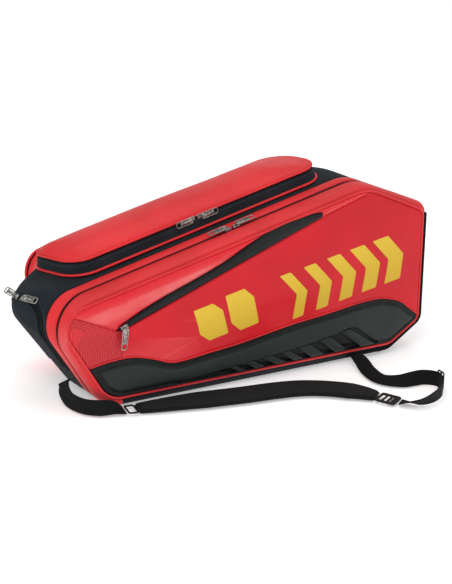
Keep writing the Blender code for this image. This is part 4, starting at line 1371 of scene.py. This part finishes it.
def top_pocket():
    """The black wall of the raised pocket, its pipings and its zip."""
    levels = [(-0.0010, 0.0128), (-0.0004, 0.0150), (-0.0008, 0.0190), (-0.0006, 0.0240),
              (0.0004, 0.0285), (0.0014, 0.0312), (0.0024, 0.0326), (0.0034, 0.0330)]
    wall = wall_ring("pocket_wall_cloth", levels, 0.0020)
    settle(wall, "carcass", "fabric_black", ["top_pocket_wall"])
    line, outs = pocket_ring_line(-0.0023, POCKET_BASE_H + 0.0012)
    cord = tube("pocket_base_piping", line, 0.0021, closed=True, sides=12, up=list(outs))
    settle(cord, "carcass", "piping_red", ["top_pocket_piping"])
    tape = wall_ring("pocket_zip_tape", [(0.0046, 0.0322), (0.0040, 0.0334), (0.0040, 0.0362),
                                         (0.0048, 0.0374)], 0.0008)
    settle(tape, "carcass", "tape", ["top_zip_coil"])
    line, outs = pocket_ring_line(0.0040, 0.0349)
    settle(teeth("pocket_zip_teeth", line + line[:1], outs + outs[:1], 0.0030),
           "carcass", "coil")
    rows = []
    for shrink, h in ((-0.0007, 0.0178), (0.0008, 0.0296)):
        line, outs = pocket_ring_line(shrink, h)
        rows.append(stitches("wall_row", line, outs))
    settle(joined("pocket_wall_stitching", rows), "carcass", "thread_black")


def lid():
    """The crowned red lid, foam-backed, with its covered edge cord."""
    outline = pocket_outline(LID_INSET - 0.0004)
    border = spread(outline, 0.005, closed=True)
    crown = sizes().lid_crown

    def height(points):
        d = nearness(points, border)
        t = np.clip(d / 0.046, 0, 1)
        along = points[:, 0]
        share = (1 - 0.20 * ease(along, -0.06, 0.08) - 0.52 * ease(along, 0.105, 0.195)
                 - 0.14 * (1 - ease(along, -0.30, -0.19)))
        small = np.array([give((u, 2.0, v), 1.0, 10.0) for u, v in points])
        return (LID_EDGE_H + 0.0004 + 0.0024 * round_over(d, 0.0024)
                + (crown * share - 0.0024) * (1 - (1 - t) ** 2.4)
                + small * 0.0009 * ease(d, 0.004, 0.03))

    cover = patch("lid_cover", outline, 0.0050, height, lambda p, h: top_point(p[0], p[1], h))
    thicken(cover, 0.0018)
    settle(cover, "top_lid", "lid_red", ["top_lid"])
    line, outs = pocket_ring_line(LID_INSET - 0.0012, LID_EDGE_H + 0.0010)
    cord = tube("lid_edge_piping", line, 0.0018, closed=True, sides=12, up=list(outs))
    settle(cord, "top_lid", "piping_red")


# ---------------------------------------------------------------- shoe pocket
def narrow_end_x(y, z):
    """Where the narrow end's cloth lies at a place across and up."""
    points = ring(y)[TRAY_LEFT:ARC_END[1] + 10]
    return float(np.interp(z, points[:, 1], points[:, 0]))


def arch_line(margin, lift):
    """A line over the narrow end round the arch, as points and directions out of the cloth."""
    flat = spread(arch_outline(margin), 0.004)
    line, outs = [], []
    for y, z in flat:
        x = narrow_end_x(y, z)
        up = narrow_end_x(y, z + 0.002) - x
        across = narrow_end_x(y + 0.002, z) - x
        out = Vector((-0.002, across, up)).normalized()
        outs.append(out)
        line.append(Vector((x, y, z)) + out * lift)
    return line, outs


def shoe_pocket():
    """The arched flap with its cord edge, over a zip and a lined tunnel."""
    ys = np.linspace(-GUSSET_Y, GUSSET_Y, 21)
    puff = [(y, 0.0016 * (1 - (y / GUSSET_Y) ** 2)) for y in ys]
    flap = skin("flap_cloth", puff, TRAY_LEFT, ARC_END[1] + 8, CLOTH_T, 0.0010)
    cut_by(flap, arch_prism("flap_cutter", -0.0032), 'INTERSECT')
    settle(flap, "shoe_flap", "fabric_black", ["shoe_flap"])
    line, outs = arch_line(-0.0042, 0.0010)
    cord = tube("flap_edge_cord", line, 0.0019, sides=10, up=list(outs))
    settle(cord, "shoe_flap", "fabric_black")
    line, outs = arch_line(-0.0014, -0.0012)
    tape = tube("shoe_zip_tape", line, 0.0026, sides=8, flat=0.3, up=list(outs))
    settle(tape, "carcass", "tape", ["shoe_zip_coil"])
    line, outs = arch_line(-0.0014, -0.0006)
    settle(teeth("shoe_zip_teeth", line, outs, 0.0026), "carcass", "coil")
    line, outs = arch_line(0.0022, 0.0004)
    cord = tube("shoe_opening_cord", line, 0.0017, sides=10, flat=0.8, up=list(outs))
    settle(cord, "carcass", "tape")
    line, outs = arch_line(0.0068, 0.0003)
    settle(stitches("shoe_opening_stitching", line, outs), "carcass", "thread_black")
    for name in ("shoe_liner", "divider_panel"):
        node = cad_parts[name]
        node.data.materials.clear()
        node.data.materials.append(finish("lining"))


# ---------------------------------------------------------------- zip sliders and pulls
def placed(origin, along, out):
    """A matrix whose x runs along the zip and whose z points out of the cloth."""
    x = Vector(along).normalized()
    z = (Vector(out) - x * Vector(out).dot(x)).normalized()
    turn = Matrix((x, z.cross(x), z)).transposed().to_4x4()
    return Matrix.Translation(Vector(origin)) @ turn


def block(size, centre, bevel=0.0003, taper=1.0):
    """A small cast block with softened edges, its top drawn in by taper."""
    bm = bmesh.new()
    bmesh.ops.create_cube(bm, size=1.0)
    for v in bm.verts:
        if v.co.z > 0:
            v.co.x *= taper
            v.co.y *= taper
    bmesh.ops.scale(bm, vec=size, verts=bm.verts)
    bmesh.ops.translate(bm, vec=centre, verts=bm.verts)
    bmesh.ops.bevel(bm, geom=bm.edges[:], offset=bevel, segments=2, affect='EDGES',
                    profile=0.6)
    mesh = bpy.data.meshes.new("block")
    bm.to_mesh(mesh)
    bm.free()
    obj = bpy.data.objects.new("block", mesh)
    bpy.context.scene.collection.objects.link(obj)
    return obj


def loop_points(length, width, radius, corner=6):
    """A rounded rectangle in the x y plane, from x = 0 to length."""
    half = width / 2
    points = []
    for cx, cy, start in ((length - radius, half - radius, 0), (radius, half - radius, 90),
                          (radius, radius - half, 180), (length - radius, radius - half, 270)):
        for k in range(corner + 1):
            angle = math.radians(start + 90 * k / corner)
            points.append((cx + radius * math.cos(angle), cy + radius * math.sin(angle), 0.0))
    return points


def zip_slider(name, place, lift, body):
    """A cast slider: shoulder plate, body, side wings and the arched bridge for the pull."""
    base = lift + 0.0002
    parts = [block((0.0128, 0.0078, 0.0013), (0, 0, base + 0.0006), 0.0004, 0.94),
             block((0.0112, 0.0052, 0.0012), (0, 0, base + 0.0017), 0.0004, 0.85)]
    arch = [(-0.0042, 0, base + 0.0018), (-0.0036, 0, base + 0.0030), (-0.0016, 0, base + 0.0036),
            (0.0016, 0, base + 0.0036), (0.0036, 0, base + 0.0030), (0.0042, 0, base + 0.0018)]
    parts.append(tube("bridge", curved(arch, 0.0007), 0.0009, sides=8, flat=0.7, up=(0, 1, 0)))
    for s in (-1, 1):
        parts.append(block((0.0085, 0.0008, 0.0020), (0, s * 0.0036, base + 0.0006), 0.0002))
    whole = joined(name + "_cast", parts)
    whole.matrix_world = place
    settle(whole, body, "metal", [body])
    return whole


def zip_pull(name, place, lift, length, body):
    """A wire-loop pull that carries a ribbed plate."""
    wire = 0.00095
    points = loop_points(length + 0.0006, 0.0096, 0.0034)
    parts = [tube("loop", [(x - 0.0006, y, 0) for x, y, _ in points], wire, closed=True,
                  sides=10, up=(0, 0, 1))]
    inner = length * 0.58
    parts.append(block((inner, 0.0056, 0.0012), (0.0036 + inner / 2, 0, 0), 0.0004))
    for k in range(int(inner / 0.0021)):
        parts.append(block((0.0009, 0.0050, 0.0008), (0.0048 + k * 0.0021, 0, 0.0007), 0.0002))
    parts.append(block((0.0026, 0.0088, 0.0013), (0.0036 + inner, 0, 0), 0.0004))
    parts.append(block((0.0032, 0.0066, 0.0014), (0.0026, 0, 0), 0.0004))
    whole = joined(name + "_loop", parts)
    whole.matrix_world = place @ Matrix.Translation((0.0015, 0, lift + 0.0050))
    settle(whole, body, "metal", [body])
    return whole


def top_edge_point(x, y):
    """A point on the sloped top at station y."""
    run = ring(y)[ARC_END[1]:ARC_START[2] + 1]
    return Vector((x, y, float(np.interp(x, run[:, 0], run[:, 1]))))


def top_edge_frame(x, y):
    """The same point, with the directions up the slope and out of the cloth."""
    step = 0.001
    along = top_edge_point(x + step, y) - top_edge_point(x - step, y)
    across = top_edge_point(x, y + step) - top_edge_point(x, y - step)
    return top_edge_point(x, y), along, along.cross(across)


def zips():
    """Every zip's slider and pull, in the places where the model has them."""
    slots = []
    for side, name in SIDES:
        for way, end in ((-1, "left"), (1, "right")):
            origin, along, out = top_edge_frame(-0.016 + way * 0.0085, side * ZIP_Y)
            slots.append((f"{name}_main_{end}", origin, along * way, out, 0.0016, 0.034))
    for way, end in ((-1, "left"), (1, "right")):
        origin = top_point(-0.058 + way * 0.0085, -POCKET_HALF + 0.0022,
                           (POCKET_RIM_H + LID_EDGE_H) / 2)
        slots.append((f"top_pocket_{end}", origin, TOP_U * way, (0, -1, 0), 0.0012, 0.030))
        y = ARCH_MID + way * 0.0085
        x, ahead, behind = (narrow_end_x(y + s, SHOE_ZIP_Z) for s in (0, 0.00425, -0.00425))
        along = Vector((ahead - behind, 0.0085, 0.0)) * way
        slots.append((f"shoe_{end}", (x, y, SHOE_ZIP_Z), along, (-0.74, 0, 0.67), 0.0016, 0.026))
    for name, origin, along, out, lift, length in slots:
        place = placed(origin, along, out)
        zip_slider(name, place, lift, name + "_slider")
        zip_pull(name, place, lift, length, name + "_pull")
    for side, name in SIDES:
        put = side_place(side)
        origin, further = [Vector(put(p, 0.1283)) for p in ((-0.2440, 0.1390), (0.0389, 0.2389))]
        place = placed(origin, further - origin, (0, side, 0))
        zip_slider(name + "_pocket", place, 0.0005, name + "_pocket_slider")
        place = placed(origin, (-0.06, 0, -1), (0, side, 0))
        zip_pull(name + "_pocket", place, 0.0005, 0.034, name + "_pocket_pull")


# ---------------------------------------------------------------- straps
def strap_frames(route):
    """For each place on a route: the point, the way along, the way across and the way up."""
    result = []
    for i, p in enumerate(route):
        along = Vector(route[min(i + 1, len(route) - 1)][:3] - route[max(i - 1, 0)][:3])
        along.normalize()
        level = along.cross(Vector((0, 0, 1))).normalized()
        across = Matrix.Rotation(math.radians(p[3]), 3, along) @ level
        result.append((Vector(p[:3]), along, across, across.cross(along).normalized()))
    return result


def strip(name, route, profile, width):
    """A flat strap along a route, with a cross-section of (across, up) points."""
    verts, cloth, faces = [], [], []
    walked = lengths(route[:, :3])
    frames = strap_frames(route)
    sides = len(profile)
    for i, (p, _, across, up) in enumerate(frames):
        wide = width(i / (len(frames) - 1)) / 2
        for k, (a, b) in enumerate(profile):
            verts.append(p + across * wide * a + up * b)
            cloth.append((walked[i], wide * a + 0.03 * (b < 0)))
    for r in range(len(frames) - 1):
        a, b = r * sides, (r + 1) * sides
        for k in range(sides):
            faces.append((a + k, a + (k + 1) % sides, b + (k + 1) % sides, b + k))
    faces.append(tuple(range(sides - 1, -1, -1)))
    faces.append(tuple(range(len(verts) - sides, len(verts))))
    return outward(make(name, verts, faces, cloth))


def webbing_profile():
    """The section of flat webbing, with rounded edges."""
    half = WEBBING_T / 2
    upper = [(-1.0, 0.0), (-0.985, half * 0.7), (-0.94, half), (-0.5, half), (0.0, half),
             (0.5, half), (0.94, half), (0.985, half * 0.7), (1.0, 0.0)]
    return upper + [(a, -b) for a, b in upper[-2:0:-1]]


def pad_profile():
    """The shoulder pad's section: full in the middle, thin and flat at its bound edges."""
    half = PAD_T / 2
    upper = []
    for a in (-1.0, -0.97, -0.91, -0.84, -0.74, -0.6, -0.4, -0.2, 0.0, 0.2, 0.4, 0.6, 0.74, 0.84,
              0.91, 0.97, 1.0):
        rise = half * (0.34 + 0.66 * (1 - abs(a) ** 5)) if abs(a) < 0.9 else half * 0.36
        upper.append((a, rise if abs(a) < 1 else half * 0.15))
    return upper + [(a, -b) for a, b in upper[-2:0:-1]]


def pad_width(t):
    """The pad's width at a share t of its length."""
    return WEBBING_W + (PAD_W - WEBBING_W) * min(1.0, 6.0 * t, 6.0 * (1.0 - t)) ** 0.7


def buckle_frame(name, length, width, bars, thick, place, body):
    """A moulded buckle: a rounded frame with cross bars at the given places along it."""
    radius = thick * 0.45
    points = loop_points(length - 2 * radius, width - 2 * radius, 0.003, 5)
    middle = (length - 2 * radius) / 2
    line = [(x - middle, y, 0) for x, y, _ in points]
    parts = [tube("frame", line, radius * 1.1, closed=True, sides=10, flat=0.95, up=(0, 0, 1))]
    for at, lift, thickness in bars:
        row = [(at, -width / 2 + radius, lift * 0.2), (at, -width / 2 + radius * 3, lift),
               (at, 0, lift), (at, width / 2 - radius * 3, lift),
               (at, width / 2 - radius, lift * 0.2)]
        parts.append(tube("bar", row, thickness, sides=8, flat=0.8, up=(0, 0, 1)))
    whole = joined(name, parts)
    whole.matrix_world = place
    return settle(whole, body, "buckle", [body])


def midway(first, last):
    """A frame half way between two route points, flat on the floor and facing the second."""
    first, last = Vector(first[:3]), Vector(last[:3])
    return placed((first + last) / 2, last - first, (0, 0, 1))


def declare_cord(obj, route):
    """Reads a strap route's first point, its length and its points, and keeps none of them."""
    walked = lengths(route[:, :3])
    route[0][:3]
    float(walked[-1])
    [tuple(p[:3]) for p in route]


def straps():
    """Both shoulder straps: webbing at the ends, a spacer-mesh pad and moulded buckles."""
    for name, (tail, pad, lead) in STRAPS.items():
        lower = smooth_route(tail, 10)
        padded_route = smooth_route(pad, 12)
        upper = smooth_route(lead, 10)
        flat = webbing_profile()
        first = strip(name + "_tail_strap", lower, flat, lambda t: WEBBING_W)
        settle(first, "carcass", "webbing", [f"{name}_strap_tail_webbing"])
        last = strip(name + "_lead_strap", upper, flat, lambda t: WEBBING_W)
        settle(last, "carcass", "webbing", [f"{name}_strap_lead_webbing"])
        cushion = strip(name + "_shoulder_cushion", padded_route, pad_profile(), pad_width)
        settle(cushion, "carcass", "spacer", [f"{name}_strap_shoulder_pad"])
        edges = []
        frames = strap_frames(padded_route)
        for way in (-1, 1):
            line = [p + across * way * (pad_width(i / (len(frames) - 1)) / 2 - 0.0012)
                    for i, (p, _, across, _) in enumerate(frames)]
            edges.append(tube("binding", line, 0.0030, sides=10, flat=0.85,
                              up=[f[3] for f in frames]))
        settle(joined(name + "_pad_binding", edges), "carcass", "webbing")
        buckle_frame(name + "_ring_frame", 0.0180, 0.0330, [], 0.0034,
                     midway(tail[-1], pad[0]), name + "_strap_ring")
        buckle_frame(name + "_lock_frame", 0.0350, 0.0360, LOCK_BARS, 0.0050,
                     midway(pad[-1], lead[0]), name + "_strap_ladder_lock")
        coarse = smooth_route(lead, 3)
        along = Vector(coarse[13][:3] - coarse[11][:3])
        out = along.cross(Vector((0, 0, 1)))
        out = out if out.x >= 0 else -out
        at = Vector(coarse[12][:3]) + out.normalized() * (WEBBING_T / 2 + 0.0018)
        buckle_frame(name + "_glide_frame", 0.0200, 0.0310, [(0.0, 0.0005, 0.0016)], 0.0030,
                     placed(at, along, out), name + "_strap_tri_glide")
        declare_cord(last, upper[::-1])
        # A cord is at least six diameters long, and the back tail is shorter than that.
        if lengths(lower[:, :3])[-1] > 6 * TAIL_CORD_D:
            declare_cord(first, lower)


# ---------------------------------------------------------------- stage
def floor_and_backdrop():
    """A pale matt floor, large enough to fill the view."""
    made = Finish("pale_floor", Roughness=0.9, Emission_Color=(1, 1, 1, 1),
                  Emission_Strength=0.35)
    made.colour(made.mix(made.speckle(3.0) * 0.3, rgba((0.96,) * 3), rgba((0.94,) * 3)))
    floor = make("floor", [(-6, -6, 0), (6, -6, 0), (6, 6, 0), (-6, 6, 0)], [(0, 1, 2, 3)])
    floor.location.z = -0.0005
    floor.data.materials.append(made.material)
    floor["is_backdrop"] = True


def lamp(name, place, target, size, power):
    """A soft rectangular light that faces a target."""
    light = bpy.data.lights.new(name, 'AREA')
    light.energy = power
    light.shape = 'RECTANGLE'
    light.size = size[0]
    light.size_y = size[1]
    obj = bpy.data.objects.new(name, light)
    obj.location = place
    obj.rotation_mode = 'QUATERNION'
    obj.rotation_quaternion = (Vector(target) - Vector(place)).to_track_quat('-Z', 'Y')
    bpy.context.scene.collection.objects.link(obj)


def camera():
    """The camera, which looks down at the front shell from the narrow end."""
    azimuth, elevation, roll = (math.radians(a) for a in CAMERA_TURN)
    back = Vector((math.sin(azimuth) * math.cos(elevation),
                   -math.cos(azimuth) * math.cos(elevation), math.sin(elevation)))
    right = Vector((math.cos(azimuth), math.sin(azimuth), 0.0))
    up = back.cross(right)
    tilted = right * math.cos(roll) - up * math.sin(roll)
    upright = right * math.sin(roll) + up * math.cos(roll)
    data = bpy.data.cameras.new("camera")
    data.lens = LENS_SHARE * data.sensor_width
    obj = bpy.data.objects.new("camera", data)
    turn = Matrix((tilted, upright, back)).transposed().to_4x4()
    obj.matrix_world = Matrix.Translation(CAMERA_TARGET + back * CAMERA_DISTANCE) @ turn
    data.clip_start, data.clip_end = 0.1, 50.0
    bpy.context.scene.collection.objects.link(obj)
    bpy.context.scene.camera = obj


def stage():
    floor_and_backdrop()
    lamp("key_softbox", (-1.8, -1.6, 2.2), (0, 0, 0.15), (1.2, 1.2), 26.0)
    lamp("top_softbox", (0.1, 0.2, 2.6), (0, 0, 0.2), (2.2, 1.4), 12.0)
    lamp("fill_softbox", (2.2, -2.4, 1.2), (0.1, 0, 0.15), (1.4, 1.4), 9.0)
    world = bpy.context.scene.world or bpy.data.worlds.new("studio")
    bpy.context.scene.world = world
    world.use_nodes = True
    shade = world.node_tree.nodes["Background"]
    shade.inputs["Color"].default_value = (1.0, 1.0, 1.0, 1.0)
    shade.inputs["Strength"].default_value = 0.62
    bpy.context.scene.view_settings.view_transform = 'Standard'
    camera()


# ---------------------------------------------------------------- operators
class BAG_OT_base(bpy.types.Operator):
    """Builds the black cloth base with its top-stitching"""

    bl_idname = "bag.base"
    bl_label = "Base"

    def execute(self, context):
        base_tray()
        return {'FINISHED'}


class BAG_OT_gusset(bpy.types.Operator):
    """Builds the black gusset, the red strips beside it and both main zips"""

    bl_idname = "bag.gusset"
    bl_label = "Gusset and main zips"

    def execute(self, context):
        gusset()
        return {'FINISHED'}


class BAG_OT_shell_bands(bpy.types.Operator):
    """Builds the side bands, end bands and covered piping of both shells"""

    bl_idname = "bag.shell_bands"
    bl_label = "Shell bands"

    def execute(self, context):
        shell_bands()
        return {'FINISHED'}


class BAG_OT_side_panels(bpy.types.Operator):
    """Builds the sewn and printed pieces of both big side panels"""

    bl_idname = "bag.side_panels"
    bl_label = "Side panels"

    def execute(self, context):
        side_panels()
        return {'FINISHED'}


class BAG_OT_armour(bpy.types.Operator):
    """Builds the moulded lower panels with their louvres and red edging"""

    bl_idname = "bag.armour"
    bl_label = "Armour"

    def execute(self, context):
        armour()
        return {'FINISHED'}


class BAG_OT_pocket_guards(bpy.types.Operator):
    """Builds the ribbed strips that cover the slanting pocket zips"""

    bl_idname = "bag.pocket_guards"
    bl_label = "Pocket guards"

    def execute(self, context):
        pocket_guards()
        return {'FINISHED'}


class BAG_OT_top_pocket(bpy.types.Operator):
    """Builds the raised pocket's wall, piping and zip"""

    bl_idname = "bag.top_pocket"
    bl_label = "Top pocket"

    def execute(self, context):
        top_pocket()
        return {'FINISHED'}


class BAG_OT_lid(bpy.types.Operator):
    """Builds the padded lid of the top pocket"""

    bl_idname = "bag.lid"
    bl_label = "Lid"

    def execute(self, context):
        lid()
        return {'FINISHED'}


class BAG_OT_shoe_pocket(bpy.types.Operator):
    """Builds the arched flap, its zip and the lined tunnel behind it"""

    bl_idname = "bag.shoe_pocket"
    bl_label = "Shoe pocket"

    def execute(self, context):
        shoe_pocket()
        return {'FINISHED'}


class BAG_OT_zip_pulls(bpy.types.Operator):
    """Builds every cast slider and wire-loop pull"""

    bl_idname = "bag.zip_pulls"
    bl_label = "Zip sliders and pulls"

    def execute(self, context):
        zips()
        return {'FINISHED'}


class BAG_OT_straps(bpy.types.Operator):
    """Builds the webbing, the shoulder pads and their buckles"""

    bl_idname = "bag.straps"
    bl_label = "Shoulder straps"

    def execute(self, context):
        straps()
        return {'FINISHED'}


class BAG_OT_stage(bpy.types.Operator):
    """Adds the pale floor, the soft lights and the camera"""

    bl_idname = "bag.stage"
    bl_label = "Stage"

    def execute(self, context):
        stage()
        return {'FINISHED'}


class BAG_PT_racket_bag(bpy.types.Panel):
    """Sizes, colours and building steps of the racket bag."""

    bl_label = "Racket Bag"
    bl_idname = "BAG_PT_racket_bag"
    bl_space_type = 'VIEW_3D'
    bl_region_type = 'UI'
    bl_category = "Racket Bag"

    def draw(self, context):
        layout = self.layout
        for group in (context.scene.bag_sizes, context.scene.bag_colours):
            box = layout.box()
            for name in group.bl_rna.properties.keys():
                if name not in {"rna_type", "name"}:
                    box.prop(group, name)
        for step in STEPS:
            layout.operator(step.bl_idname)


STEPS = (
    BAG_OT_stage,
    BAG_OT_base,
    BAG_OT_gusset,
    BAG_OT_shell_bands,
    BAG_OT_side_panels,
    BAG_OT_armour,
    BAG_OT_pocket_guards,
    BAG_OT_top_pocket,
    BAG_OT_lid,
    BAG_OT_shoe_pocket,
    BAG_OT_zip_pulls,
    BAG_OT_straps,
)
CLASSES = (BagSizes, BagColours, *STEPS, BAG_PT_racket_bag)


def register():
    for cls in CLASSES:
        bpy.utils.register_class(cls)
    bpy.types.Scene.bag_sizes = bpy.props.PointerProperty(type=BagSizes)
    bpy.types.Scene.bag_colours = bpy.props.PointerProperty(type=BagColours)


def unregister():
    del bpy.types.Scene.bag_colours
    del bpy.types.Scene.bag_sizes
    for cls in reversed(CLASSES):
        bpy.utils.unregister_class(cls)


def main():
    register()
    for step in STEPS:
        group, name = step.bl_idname.split(".")
        getattr(getattr(bpy.ops, group), name)()
    boxes = {"cad": CAD_BOX, "visual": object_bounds()}
    {key: [list(corner) for corner in box] for key, box in boxes.items()}


if __name__ == "__main__":
    main()
